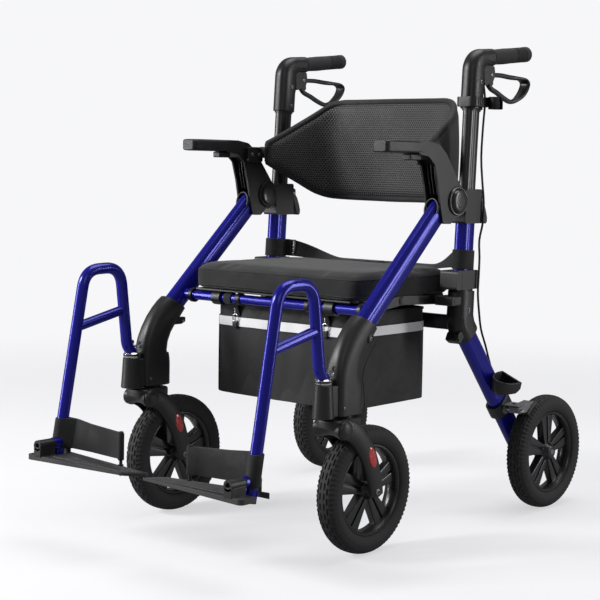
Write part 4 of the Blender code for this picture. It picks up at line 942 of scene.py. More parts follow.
@dataclass
class Wheels:
    """Four spoked wheels with blocked tyres."""

    half: float = 0.0225
    blocks: int = 40
    steps: int = 8
    spokes: int = 5

    def build(self) -> None:
        """Builds the tyres and rims of all four wheels."""
        for name, centre, hub_half in (("front", at(FRONT_AXLE), 0.0225),
                                       ("rear", at(REAR_AXLE, REAR_X), 0.0205)):
            make_pair(f"{name}_tread_tyre", [(TYRE_RUBBER, self.tyre(centre))], f"{name}_wheel",
                      f"{name}_tyre", 28.0)
            make_pair(f"{name}_spoked_rim", self.rim(centre, hub_half), f"{name}_wheel", f"{name}_rim")

    def tyre(self, centre: Vector) -> Mesh:
        """A tyre whose tread is cut into dashes and whose shoulders are cut into blocks.

        Args:
            centre: The wheel's centre.

        Returns:
            The mesh.
        """
        line = smooth([(x, r, 0) for x, r in (
            (-0.6, 0.0833), (-0.78, 0.085), (-0.93, 0.0905), (-0.985, 0.0975), (-0.95, 0.1045),
            (-0.84, 0.1105), (-0.66, 0.1143), (-0.44, 0.1164), (-0.22, 0.1173), (0.0, WHEEL_RADIUS))], 4)
        line += [Vector((-p.x, p.y, 0)) for p in reversed(line[:-1])]
        count = self.blocks * self.steps
        rings = []
        for p in line:
            ring = []
            for i in range(count):
                angle = math.tau * i / count
                r = p.y - self.cut(abs(p.x), p.y, i)
                ring.append(centre + Vector((p.x * self.half, r * math.cos(angle), r * math.sin(angle))))
            rings.append(ring)
        return lofted(rings, closed=True)

    def cut(self, wide: float, reach: float, step: int) -> float:
        """How deep the tread is cut at one place.

        Args:
            wide: How far it is from the middle, as a share of the half width.
            reach: How far it is from the axle.
            step: Its step round the tyre.

        Returns:
            The depth.
        """
        phase = step % self.steps / self.steps
        if reach > 0.1015 and wide > 0.62:
            return 0.0021 if phase * 2 % 1 < 0.38 else 0.0
        if 0.13 < wide < 0.23 or 0.42 < wide < 0.53:
            return 0.0024 if (phase + (0.5 if wide < 0.3 else 0.0)) % 1.0 < 0.62 else 0.0
        return 0.001 if 0.52 < wide < 0.62 and phase < 0.25 and step // self.steps % 2 else 0.0

    def rim(self, centre: Vector, hub_half: float) -> list[tuple]:
        """A moulded rim: a lipped barrel, pairs of curved spokes and a capped hub.

        Args:
            centre: The wheel's centre.
            hub_half: Half the hub's length.

        Returns:
            Its parts.
        """
        barrel = turned([
            (-0.016, 0.08), (-0.0158, 0.0829), (-0.013, 0.0831), (0.013, 0.0831), (0.0158, 0.0829),
            (0.016, 0.08), (0.014, 0.0775), (0.012, 0.077), (0.006, 0.0745), (0.0, 0.0735), (-0.006, 0.0745),
            (-0.012, 0.077), (-0.014, 0.0775)], centre, X, 96, closed=True)
        h = hub_half
        hub = turned([
            (-h, 0.0075), (-h, 0.012), (-h + 0.0015, 0.014), (-h + 0.005, 0.015), (-0.0095, 0.0185),
            (-0.008, 0.02), (0.008, 0.02), (0.0095, 0.0185), (h - 0.005, 0.015), (h - 0.0015, 0.014),
            (h, 0.012), (h, 0.0075)], centre, X, 48, closed=True)
        cap = turned([(h - 0.004, 0.0118), (h + 0.0002, 0.0118), (h + 0.0006, 0.0105), (h + 0.0006, 0.0065)],
                     centre, X, 36)
        spokes = [self.spoke(centre, math.tau * i / self.spokes + math.pi / 2) for i in range(self.spokes)]
        return [(RIM_PLASTIC, barrel, hub), (MOULDED, cap), (RIM_PLASTIC, *spokes)]

    def spoke(self, centre: Vector, angle: float) -> Mesh:
        """One double spoke: two broad rounded ribs with a sunken web between them.

        Args:
            centre: The wheel's centre.
            angle: Its direction, from +Y towards +Z.

        Returns:
            The mesh.
        """
        out = Vector((0, math.cos(angle), math.sin(angle)))
        turn = X.cross(out)
        groove, edge = 0.002, 0.0026
        rings = []
        for share in (0.0, 0.12, 0.25, 0.4, 0.55, 0.7, 0.85, 1.0):
            reach, wide, thick = 0.014 + 0.0635 * share, 0.0105 + 0.0125 * share, 0.0098 - 0.0026 * share
            quarter = [(wide, thick - edge), (wide - edge * 0.3, thick - edge * 0.3), (wide - edge, thick),
                       (groove + edge, thick), (groove + 0.0004, thick - 0.0008), (groove, thick - 0.004)]
            half = quarter + [(-a, b) for a, b in reversed(quarter)]
            section = half + [(-a, -b) for a, b in half]
            rings.append([centre + out * reach + turn * a + X * b for a, b in section])
        return lofted(rings)


@dataclass
class Casters:
    """The moulded forks of the front wheels."""

    inner: float = 0.025
    outer: float = 0.0318

    def build(self) -> None:
        """Builds both forks."""
        flare = [(0.0005, 0.026), (0.01, 0.0275), (0.018, 0.032), (0.025, 0.037), (0.03, 0.038)]
        barrel = lofted([oval(at((-0.244, 0.24), FRAME_X + d), Y, Z, w, w - 0.004, 36)
                         for d, w in (*((-d, w) for d, w in reversed(flare)), *flare)])
        top = level_plate(curved([(FRAME_X + x, y) for x, y in (
            (-0.024, -0.26), (0.024, -0.26), (0.027, -0.225), (0.018, -0.188), (-0.018, -0.188),
            (-0.027, -0.225))], 4), 0.24, 0.258, 0.004)
        parts = [(CASTING, barrel, top)]
        for way in (-1, 1):
            x = FRAME_X + way * (self.outer - 0.0004)
            dome = lofted([oval(at((-0.243, 0.24), x + way * d), Y, Z, w, w, 32)
                           for d, w in ((-0.006, 0.036), (0.0, 0.035), (0.0022, 0.032), (0.0044, 0.025),
                                        (0.0056, 0.016), (0.006, 0.006))])
            bolt = screw((x + way * 0.0008, -0.153, AXLE_Z - 0.001), X * way, 0.0062)
            reflector = lofted([oval(at((-0.1712, 0.183), x + way * d), Vector((0, 0.34, -0.9404)),
                                     Vector((0, 0.9404, 0.34)), 0.04 * s, 0.019 * s, 32)
                                for d, s in ((0.001, 1.0), (0.0034, 1.0), (0.0041, 0.9), (0.0044, 0.6))])
            parts += [(CASTING, self.arm(way), dome), (STEEL, bolt), (REFLECTOR, reflector)]
        cap = turned([(0.25, 0.021), (0.259, 0.0205), (0.26, 0.019), (0.2617, 0.0185)],
                     (FRAME_X, SWIVEL_Y, 0), Z, 40)
        axle = bar(FRONT_AXLE, FRAME_X - self.outer, FRAME_X + self.outer, 0.006)
        make_pair("caster_fork", [*parts, (MOULDED, cap), (STEEL, axle)], "caster", "fork")

    def arm(self, way: int) -> Mesh:
        """One arm of the fork, curving down from the crown to the axle.

        Args:
            way: 1 for the outer arm, -1 for the inner one.

        Returns:
            The mesh.
        """
        line = smooth([at(p) for p in (
            (-0.25, 0.24), (-0.234, 0.24), (-0.211, 0.229), (-0.189, 0.206), (-0.1715, 0.178),
            (-0.159, 0.148), (-0.1512, 0.124), (-0.1495, 0.106))], 4)
        last = len(line) - 1
        rings = []
        for i, p in enumerate(line):
            share = i / last
            wide = 0.0345 + 0.006 * math.sin(math.pi * min(share * 1.2, 1.0))
            bulge = self.outer - self.inner + 0.003 * math.sin(math.pi * min(share * 1.15, 1.0))
            if i == last:
                wide, bulge = 0.02, bulge - 0.002
            if i in (0, last):
                wide *= 0.8
            side = across(line, i)
            rings.append([p + X * (way * (self.inner + bulge * max(math.sin(a), 0.0) ** 0.55))
                          + side * (wide / 2 * math.cos(a)) for a in [math.pi * k / 16 for k in range(17)]])
        return softened(lofted(rings), 0.001, 2, 55.0)


@dataclass
class Castings:
    """The curved castings that join the front tubes to the casters and hold the footrests."""

    half: float = 0.0215
    base: float = 0.262

    def build(self) -> None:
        """Builds both castings."""
        half, base = self.half, self.base
        rings = []
        for front, rear, square in (
                ((-0.185, 0.4385), (-0.136, 0.4085), 2.3), ((-0.196, 0.431), (-0.144, 0.399), 2.3),
                ((-0.21, 0.418), (-0.153, 0.388), 2.3), ((-0.224, 0.401), (-0.163, 0.378), 2.4),
                ((-0.236, 0.38), (-0.174, 0.365), 2.6), ((-0.244, 0.36), (-0.183, 0.348), 3.0),
                ((-0.248, 0.34), (-0.187, 0.331), 3.6), ((-0.248, 0.321), (-0.1845, 0.314), 4.5),
                ((-0.248, 0.305), (-0.1815, 0.3), 6.0)):
            a, b = at(front), at(rear)
            rings.append(oval((a + b) / 2, X, (b - a).normalized(), 2 * half, (b - a).length, 48, square))
        neck = lofted(rings)
        foot = lofted([oval(Vector((FRAME_X, -0.214, z)), X, Y, 2 * half - pull, 0.0675 - pull, 64, 5.0)
                       for z, pull in ((base, 0.004), (base + 0.0006, 0.0018), (base + 0.0018, 0.0),
                                       (0.305, 0.0), (0.316, 0.0012), (0.326, 0.004))])
        bridge = block((FRAME_X - 0.015, -0.266, base + 0.0004), (FRAME_X + 0.015, -0.23, 0.3195), 0.003)
        socket = turned([(base, 0.0185), (base + 0.0012, 0.02), (0.29, 0.0182), (0.3208, 0.0166),
                         (0.322, 0.0154)], (FRAME_X, HANGER_Y, 0), Z, 48)
        seam = piped(smooth([at(p, FRAME_X + half - 0.0006) for p in (
            (-0.18, 0.266), (-0.1822, 0.3), (-0.1862, 0.33), (-0.179, 0.352), (-0.164, 0.372),
            (-0.147, 0.39))]), 0.0009, 8)
        high, low = (-0.1655, 0.396), (-0.236, 0.278)
        ring = turned([(half - 0.0025, 0.0085), (half + 0.0006, 0.0085), (half + 0.001, 0.0075),
                       (half + 0.001, 0.0062), (half - 0.0008, 0.0056)], at(high), X, 32)
        screws = [screw((FRAME_X + half - 0.0008, *high), X),
                  screw((FRAME_X + half - 0.0002, *low), X, 0.003),
                  screw((FRAME_X - half + 0.0002, *low), -X, 0.003)]
        make_pair("caster_casting", [(CASTING, neck, foot, bridge, socket, seam, ring), (STEEL, *screws)],
                  "front_frame", "leg_casting")
        hook = side_plate([(-0.1738, 0.3806), (-0.15, 0.3806), (-0.14, 0.385), (-0.14, 0.3944),
                           (-0.1738, 0.3944)], 0.0015, -0.0158, -0.0042, 0.0008)
        pin = bar((-0.146, 0.387), FRAME_X - 0.017, FRAME_X - 0.003, 0.0022, 16, 0.0004)
        make_pair("latch_tongue", [(MOULDED, hook), (CHROME, pin)], "footrest_latch", "footrest_latch")


@dataclass
class Footrests:
    """The swing-away footrests: bent tube and brace, plate and heel strap."""

    radius: float = 0.011
    hinge: Pair = (0.25, 0.178)
    plate_low: float = 0.1495
    plate_high: float = 0.1605
    strap_rod: Pair = (0.091, -0.4335)
    strap_low: float = 0.168
    strap_high: float = 0.223

    def leg_y(self, z: float) -> float:
        """The front leg's centre at this height."""
        return -0.4485 + (z - 0.153) * (0.0625 / 0.347)

    def build(self) -> None:
        """Builds both footrests, their plates and their straps."""
        foot, *corners = (at(p) for p in (
            (HANGER_Y, 0.27), (HANGER_Y, 0.332), (-0.281, 0.347), (-0.3, 0.503), (-0.386, 0.5),
            (self.leg_y(0.142), 0.142)))
        tube = swept([foot, *bent(corners, 0.0405, 12)], 2 * self.radius, 2 * self.radius, 36)
        brace = swept([at((-0.404, 0.3925)), at((-0.345, 0.406)), at((-0.286, 0.4195))], 0.0175, 0.019, 32)
        hanger = (FRAME_X, HANGER_Y, 0)
        collar = turned([(0.3223, 0.015), (0.324, 0.0158), (0.33, 0.0158), (0.3318, 0.014), (0.333, 0.0118)],
                        hanger, Z, 40)
        # A black band round the chrome collar: painted shade in its slit.
        slit = turned([(0.3255, 0.016), (0.3285, 0.016)], hanger, Z, 40)
        x, z = self.hinge
        pivot = rod((x, -0.4925, z), (x, -0.427, z), 0.005, edge=0.0008)
        knuckle = rod((x, -0.4636, z), (x, -0.4316, z), 0.011, 36, 0.0008)
        pin = rod((FRAME_X + 0.004, -0.256, 0.344), (FRAME_X + 0.014, -0.262, 0.34), 0.0032, edge=0.0006)
        knob = bar((-0.256, 0.35), FRAME_X + 0.011, FRAME_X + 0.015, 0.0045, edge=0.001)
        make_pair("footrest_tube", [
            (LACQUER, tube, brace), (CHROME, collar), (MOULDED, slit), (CHROME, pivot), (LACQUER, knuckle),
            (CHROME, pin), (MOULDED, knob)], "footrest", "footrest_hanger")
        self.plates()
        self.straps()

    def plates(self) -> None:
        """The thin footplates, their hinge barrels and the rod that holds the strap."""
        x, z = self.hinge
        low, high = self.plate_low, self.plate_high
        plan = rounded([(0.022, -0.486), (0.281, -0.4985), (0.281, -0.427), (0.022, -0.423)],
                       [0.014, 0.01, 0.008, 0.014])
        notch = block((x - 0.0165, -0.4642, low - 0.01), (0.3, -0.431, high + 0.01), 0.0)
        slab = carved(level_plate(plan, low, high - 0.0012, 0.0), [notch], 0.0016)
        ribs = [level_plate(rounded([(0.032, y), (0.227, y - 0.004), (0.227, y - 0.0008), (0.032, y + 0.003)],
                                    0.001, 2), high - 0.002, high, 0.0004)
                for y in [-0.4795 + 0.0064 * k for k in range(8)]]
        for mesh in (slab, *ribs):
            for vert in mesh.vertices:
                thinner = 0.004 if vert.co.z < (low + high) / 2 else -0.001
                vert.co.z += ramp(0.226 - vert.co.x, 0.07) * (thinner - 0.15 * (vert.co.y + 0.49))
        parts = [(PLATE_GRIP, slab, *ribs)]
        for start, end in ((-0.4985, -0.4642), (-0.431, -0.427)):
            bore = rod((x, start - 0.001, z), (x, end + 0.001, z), 0.0054)
            barrel = carved(rod((x, start, z), (x, end, z), 0.0102, 36), [bore], 0.0009, 2, 38.0)
            web = block((x - 0.0098, start, high - 0.003), (x + 0.0098, end, z - 0.003), 0.0012)
            parts.append((CASTING, barrel, web))
        for finish, base, top, radius, count, edge in (
                (MOULDED, low - 0.014, 0.217, 0.003, 20, 0.0006),
                (STEEL, low - 0.011, low - 0.006, 0.0055, 6, 0.0005),
                (MOULDED, 0.2128, 0.2165, 0.0048, 24, 0.0008),
                (MOULDED, high - 0.012, high - 0.004, 0.005, 24, 0.0008)):
            parts.append((finish, rod((*self.strap_rod, base), (*self.strap_rod, top), radius, count, edge)))
        make_pair("footrest_plate", parts, "footplate", "footplate")

    def straps(self) -> None:
        """The wide webbing from each tube to the rod on its plate, sewn round both."""
        thick, wrap, loop, fall = 0.0026, self.radius + 0.0003, 0.0034, 0.0095
        low, high = self.strap_low, self.strap_high
        rings = []
        for share in (0.0, 0.03, 0.5, 0.97, 1.0):
            pinch = 0.0006 if share in (0.0, 1.0) else 0.0
            level = low + (high - low) * share
            leg_y = self.leg_y(level)
            outer = arc((FRAME_X, leg_y), wrap + thick - pinch, -88, 92, 15)
            run = [(0.226, leg_y + 0.014), (0.18, -0.427), (0.136, -0.4268), (0.104, -0.4272)]
            end = arc(self.strap_rod, loop + thick - pinch, 80, 280, 10)
            back = [(x, y - thick - 0.0012 + 2 * pinch) for x, y in reversed(run)]
            near = [(FRAME_X - 0.008, leg_y - 0.0095), (FRAME_X - 0.006, leg_y - 0.0118)]
            rings.append([Vector((x, y, level - fall * ramp(0.236 - x, 0.125) * (0.4 + 0.6 * share)))
                          for x, y in (*outer, *run, *end, *back, *near)])
        stitches = [rod((x, self.leg_y(z) + 0.0142, z), (x, self.leg_y(z) + 0.0142, z + 0.0024), 0.0004, 6)
                    for x in (0.228, 0.224) for z in [low + 0.009 + k * 0.0044 for k in range(9)]]
        parts = [(WEBBING, lofted(rings)), (GREY_MOULDED, *stitches)]
        pair = make_pair("heel_webbing", parts, "footrest", "heel_strap")
        for side, made in zip(Side, pair):
            freed(made)
            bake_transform(made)


@dataclass
class KneeCovers:
    """The moulded covers over the bend of each rear tube, with their clips, collars and cross bar."""

    half: float = 0.0215

    def build(self) -> None:
        """Builds both knee covers and the cross bar between them."""
        half, high = self.half, FRAME_X + self.half
        path = bent([post(0.466), at(POST_FOOT), leg(0.377)], 0.05, 12)
        deeps = [0.056 + 0.004 * math.sin(math.pi * i / (len(path) - 1)) for i in range(len(path))]
        shell = softened(swept(path, 2 * half, deeps, 56, 2.7), 0.0016)
        sleeve = side_plate([(0.093, 0.469), (0.164, 0.469), (0.1655, 0.5065), (0.0945, 0.5065)], 0.006,
                            0.001 - half, half - 0.001, 0.0)
        collar = carved(sleeve, [swept([post(0.46), post(0.52)], 0.0306, 0.0466, 48, TUBE_SQUARE)], 0.0018)
        # A dark strip on the grey collar: painted shade in its groove.
        groove = side_plate([(0.11, 0.47), (0.1114, 0.47), (0.1114, 0.506), (0.11, 0.506)], 0.0004,
                            half - 0.0013, half - 0.0006, 0.0)
        neck = swept([post(0.46), post(0.47)], 0.036, 0.052, 48, 2.4)
        arm = block((0.2255, 0.085, 0.438), (high - 0.005, 0.126, 0.4562), 0.003)
        step = bar((0.096, 0.4471), high - 0.0058, high - 0.0042, 0.005, 24, 0.0006)
        boss = bar(RAIL_PIVOT, 0.229, 0.2205, 0.0085, 24, 0.001)
        pin = bar(RAIL_PIVOT, 0.2265, 0.215, 0.0035, 20, 0.0006)
        knob = turned([(half - 0.005, 0.0088), (half - 0.014, 0.0088), (half - 0.0175, 0.0072)],
                      at((0.116, 0.377)), X, 28)
        heel = side_plate([(0.1045, 0.369), (0.12, 0.36), (0.13, 0.372), (0.114, 0.387)], 0.005,
                          0.006 - half, half - 0.008, 0.003)
        ferrule = piped(smooth([at((0.129, 0.429), high - 0.003), at((0.132, 0.433), high + 0.0012),
                                at((0.135, 0.429), high + 0.001), at((0.1352, 0.419), high - 0.002)]),
                        0.0011, 8)
        ridge = swept([p + X * (half - 0.0008) for p in path[3:-2]], 0.0016, 0.03, 12, 3.0)
        make_pair("knee_cover", [
            (MOULDED, shell), (GREY_MOULDED, collar), (MOULDED, groove, neck), (GREY_MOULDED, arm),
            (MOULDED, step, boss), (STEEL, pin), (MOULDED, knob, heel), (CHROME, ferrule), (MOULDED, ridge)],
            "rear_frame", "knee_joint")
        inner = FRAME_X - half - 0.0004
        cross = plate(rounded([(0.129, 0.386), (0.144, 0.386), (0.144, 0.415), (0.129, 0.415)], 0.004),
                      -inner, inner, 0.002)
        ribs = [block((x, 0.1284, 0.389), (x + 0.002, 0.1446, 0.412), 0.0004)
                for x in [-0.22 + 0.0275 * k for k in range(17)]]
        make("knee_cross_bar", [(MOULDED, cross, *ribs)], "rear_frame", ["rear_cross_bar"])


@dataclass
class Hubs:
    """The folding hubs: post clamp and its lever, hinge disc and bolt caps."""

    base: float = 0.5985
    top: float = 0.666
    half: float = 0.0192
    bolt_half: float = 0.0193

    def build(self) -> None:
        """Builds both clamps and their levers, then the bolt caps."""
        half, base, top = self.half, self.base, self.top
        middle = post((base + top) / 2).y
        front, rear = middle - 0.0272, middle + 0.0272
        shell = side_plate([(front, base), (rear, base), (rear, top), (front, top)], 0.005, -half, half, 0.0)
        body = carved(shell, [swept([post(0.58), post(0.69)], 0.0306, 0.0466, 48, TUBE_SQUARE),
                              turned([(-0.05, 0.0309), (-0.008, 0.0309)], at(HUB), X, 48),
                              turned([(0.008, 0.0309), (0.05, 0.0309)], at(HUB), X, 48)], 0.0016, 3, 50.0)
        web = block((FRAME_X - 0.008, 0.098, 0.62), (FRAME_X + 0.008, front + 0.003, 0.662), 0.001)
        disc = turned([(-0.008, 0.029), (0.008, 0.029)], at(HUB), X, 48)
        # A thin strip of darker moulding along the clamp's slit: painted shade in the slit.
        slit = block((FRAME_X + half - 0.0006, rear - 0.0135, base + 0.001),
                     (FRAME_X + half + 0.0003, rear - 0.0125, top - 0.001), 0.0)
        ears = [side_plate([(rear - 0.002, 0.632), (rear + 0.01, 0.634), (rear + 0.01, 0.654),
                            (rear - 0.002, 0.658)], 0.004, a - 0.002, a + 0.002, 0.0006)
                for a in (-0.014, 0.014)]
        y, z = pivot = (rear + 0.0055, 0.6445)
        pin = bar(pivot, FRAME_X - 0.0165, FRAME_X + 0.0165, 0.0028, 20, 0.0005)
        make_pair("post_clamp", [
            (CASTING, body, web, disc), (MOULDED, slit), (CASTING, *ears), (CHROME, pin)],
            "rear_frame", "hub_clamp")
        lever = plate([*arc(pivot, 0.005, 40, 250, 16), *((y + a, z - b) for a, b in (
            (0.005, 0.016), (0.009, 0.029), (0.013, 0.042), (0.016, 0.0465), (0.0215, 0.0475),
            (0.0252, 0.044), (0.0255, 0.036), (0.022, 0.024), (0.016, 0.01), (0.009, 0.001)))],
            FRAME_X - 0.0112, FRAME_X + 0.0112, 0.0016)
        ribs = [block((FRAME_X - 0.009, y + 0.0238 - 0.001 * k, z - 0.04 + 0.0045 * k),
                      (FRAME_X + 0.009, y + 0.0262 - 0.001 * k, z - 0.0384 + 0.0045 * k), 0.0005)
                for k in range(4)]
        make_pair("post_clamp_lever", [(MOULDED, lever, *ribs)], "clamp_lever", "clamp_lever")
        self.caps()

    def caps(self) -> None:
        """The stepped caps on the hinge bolts."""
        h = self.bolt_half
        inner = [(-h - d, r) for d, r in (
            (0.0086, 0.008), (0.0082, 0.018), (0.0068, 0.0208), (0.0036, 0.0216), (0.0036, 0.0236),
            (0.005, 0.0246), (0.004, 0.0272), (0.0, 0.0284), (0.0, 0.006))]
        outer, rim, dimple = ([(h + d, r) for d, r in profile] for profile in (
            ((0.0, 0.006), (0.0, 0.0286), (0.0022, 0.0284), (0.0036, 0.0272), (0.0036, 0.0258),
             (0.0024, 0.025), (0.0024, 0.0238), (0.0046, 0.023), (0.0084, 0.0216), (0.0102, 0.0194),
             (0.0106, 0.012)),
            ((0.0034, 0.0276), (0.0044, 0.0272), (0.0044, 0.026), (0.0034, 0.0256)),
            ((0.01, 0.0126), (0.0112, 0.0122), (0.0115, 0.0108), (0.0114, 0.004))))
        cap = turned(inner + outer, at(HUB), X, 64)
        ring = turned(rim, at(HUB), X, 64, closed=True)
        button = turned(dimple, at(HUB), X, 48)
        make_pair("hinge_cap", [(ANODISED, cap), (STEEL, ring), (ANODISED, button)], "front_frame",
                  "hub_bolt")


@dataclass
class Armrests:
    """The moulded armrests with their hollow, ribbed uprights."""

    half: float = 0.019

    def build(self) -> None:
        """Builds both armrests."""
        outline = rounded([
            (-0.03, 0.7335), (-0.03, 0.7572), (0.001, 0.757), (0.033, 0.752), (0.056, 0.733),
            *arc(HUB, 0.0305, 66, -95, 30), (0.072, 0.599), (0.048, 0.5995), (0.04, 0.63), (0.031, 0.675),
            (0.02, 0.712), (0.0, 0.728), (-0.022, 0.731),
        ], [0.0005, 0.0005, 0.02, 0.02, 0.02, *[0.0005] * 31, 0.006, 0.006, 0.02, 0.03, 0.01, 0.01, 0.01], 4)
        pocket = side_plate([(-0.004, 0.7215), (0.022, 0.7215), (0.042, 0.702), (0.052, 0.67), (0.056, 0.635),
                             (0.05, 0.59), (0.02, 0.59), (0.008, 0.69)], 0.004, -0.0148, 0.0148, 0.0)
        body = carved(plate(outline, FRAME_X - self.half, FRAME_X + self.half, 0.0), [
            pocket, turned([(-0.0083, 0.0309), (0.0083, 0.0309)], at(HUB), X, 48),
            block((FRAME_X - 0.0083, HUB[0], 0.598), (FRAME_X + 0.0083, 0.15, 0.664), 0.0),
            swept([at((0.07, 0.6388)), at((-0.03, 0.5443))], 0.0286, 0.0456, 40, TUBE_SQUARE)],
            0.0024, 3, 50.0)
        ribs = [plate([(0.03, 0.713), (0.044, 0.705), (0.053, 0.67), (0.056, 0.648), (0.042, 0.656),
                       (0.033, 0.69)], FRAME_X + a - 0.0009, FRAME_X + a + 0.0009, 0.0003)
                for a in (-0.008, 0.0, 0.008)]
        arch = piped(smooth([(FRAME_X + 0.0158 * math.cos(a), 0.0345 + 0.004 * math.sin(a),
                              0.627 + 0.0205 * math.sin(a))
                             for a in [math.radians(k) for k in range(-20, 201, 20)]], 3), 0.0021, 10)
        pad = lofted([oval(at((y, (low + high) / 2)), X, Z, 2 * half, high - low, 64, 7.0)
                      for y, half, low, high in (
                          (-0.1246, 0.0125, 0.7362, 0.7546), (-0.1236, 0.0152, 0.735, 0.7558),
                          (-0.1212, 0.0173, 0.7341, 0.7567), (-0.1168, 0.0187, 0.7336, 0.7572),
                          (-0.11, 0.0195, 0.7333, 0.7574), (-0.022, 0.0195, 0.7332, 0.7574),
                          (-0.0215, 0.0188, 0.734, 0.7568))])
        bracket = side_plate([(0.022, 0.712), (0.066, 0.712), (0.066, 0.744), (0.022, 0.744)], 0.006,
                             -self.half - 0.0103, 0.004 - self.half, 0.0015)
        catch = block((FRAME_X - 0.01, -0.044, 0.7205), (FRAME_X + 0.01, -0.012, 0.7325), 0.0022)
        screws = [screw((FRAME_X - self.half - 0.01, y, 0.728), -X, 0.004) for y in (0.034, 0.054)]
        make_pair("arm_support", [(MOULDED, body, pad, *ribs, arch, bracket, catch), (STEEL, *screws)],
                  "front_frame", "armrest")


@dataclass
class Handles:
    """The push handles: moulded elbows, rubber grips and loop brake levers."""

    grip_start: Pair = (0.2186, 0.93)
    grip_end: Pair = (0.35, 0.9454)
    pivot: Pair = (0.21, 0.894)

    def build(self) -> None:
        """Builds the elbows, grips and levers."""
        rise = (self.grip_end[1] - self.grip_start[1]) / (self.grip_end[0] - self.grip_start[0])
        corner = (self.grip_start[1] + rise * (post(0.0).y - self.grip_start[0])) / (1 - rise * POST_LEAN)
        path = bent([post(0.824), post(corner), at(self.grip_start)], 0.033, 12)
        total = len(path) - 1
        shares = [max(i - 3, 0) / (total - 3) for i in range(total + 1)]
        elbow = softened(swept(path, [0.037 - 0.0032 * s for s in shares],
                               [0.05 - 0.0145 * s for s in shares], 56, 2.4), 0.0014)
        bracket = side_plate([(0.185, 0.912), (0.219, 0.913), (0.222, 0.894), (0.216, 0.882), (0.185, 0.87)],
                             0.006, -0.0125, 0.0125, 0.0)
        slot = block((FRAME_X - 0.0064, 0.1925, 0.86), (FRAME_X + 0.0064, 0.24, 0.9105), 0.0)
        jaw = carved(bracket, [slot], 0.0014, 3, 50.0)
        pin = bar(self.pivot, FRAME_X - 0.0138, FRAME_X + 0.0138, 0.003, 20, 0.0006)
        screws = [screw((FRAME_X + way * 0.0182, post(z).y + 0.004, z), X * way)
                  for way in (-1, 1) for z in (0.878, 0.836)]
        slit = swept([at((0.186, 0.9235)), at((0.214, 0.918))], 0.0352, 0.0028, 24)
        make_pair("handle_elbow", [
            (MOULDED, elbow, jaw), (CHROME, pin), (RIM_PLASTIC, slit), (STEEL, *screws)],
            "handle", "handle_sleeve")
        self.grips()
        self.levers()

    def grips(self) -> None:
        """The ribbed rubber grips."""
        start, end = at(self.grip_start), at(self.grip_end)
        along = (end - start).normalized()
        start += along * 0.0004
        length = (end - start).length
        up = X.cross(along)
        stations = [(0.0, 0.015), (0.0008, 0.0166), (0.006, 0.0169), (0.0085, 0.016), (0.01, 0.015),
                    (0.02, 0.015), (0.045, 0.0158), (length - 0.056, 0.0152)]
        for k in range(7):
            d = length - 0.052 + 0.0056 * k
            stations += [(d, 0.0153), (d + 0.0004, 0.0144), (d + 0.0018, 0.0144), (d + 0.0022, 0.0153)]
        stations += [(length - 0.01, 0.0157), (length - 0.002, 0.0155), (length - 0.0004, 0.0146),
                     (length, 0.0125)]
        grip = lofted([oval(start + along * d, X, up, 2 * r, 2.04 * r, 48) for d, r in stations])
        stud = rod(end - along * 0.0008, end + along * 0.0004, 0.006, 24, 0.0003)
        panels = [swept([start + along * d + up * 0.0146 for d in ends], 0.009, 0.0022, 16, 3.0)
                  for ends in ((0.024, 0.038), (0.042, 0.056), (0.06, 0.072))]
        make_pair("hand_grip", [(GRIP_RUBBER, grip), (MOULDED, stud), (GRIP_RUBBER, *panels)], "handle",
                  "grip")

    def levers(self) -> None:
        """The closed-loop brake levers."""
        loop = smooth([at(p) for p in (
            (0.213, 0.893), (0.233, 0.8955), (0.26, 0.8962), (0.288, 0.8945), (0.313, 0.8938),
            (0.336, 0.8925), (0.347, 0.8855), (0.344, 0.874), (0.333, 0.861), (0.315, 0.8495),
            (0.293, 0.8445), (0.269, 0.851), (0.244, 0.861), (0.224, 0.868), (0.213, 0.879))], 4, True)
        rings = []
        for i, p in enumerate(loop):
            along = (loop[(i + 1) % len(loop)] - loop[i - 1]).normalized()
            share = eased(p.y - 0.296, 0.04)
            rings.append(oval(p, X, along.cross(X), 0.0104 + 0.015 * share, 0.0094 - 0.003 * share, 20, 3.0))
        stop = bar((0.216, 0.883), FRAME_X - 0.0062, FRAME_X + 0.0062, 0.0034, 20, 0.0006)
        lug = side_plate([(0.208, 0.876), (0.208, 0.9), (0.224, 0.899), (0.226, 0.873)], 0.005,
                         -0.0056, 0.0056, 0.0012)
        make_pair("brake_loop", [(MOULDED, lofted(rings, True), lug), (CHROME, stop)], "brake_lever",
                  "brake_lever")


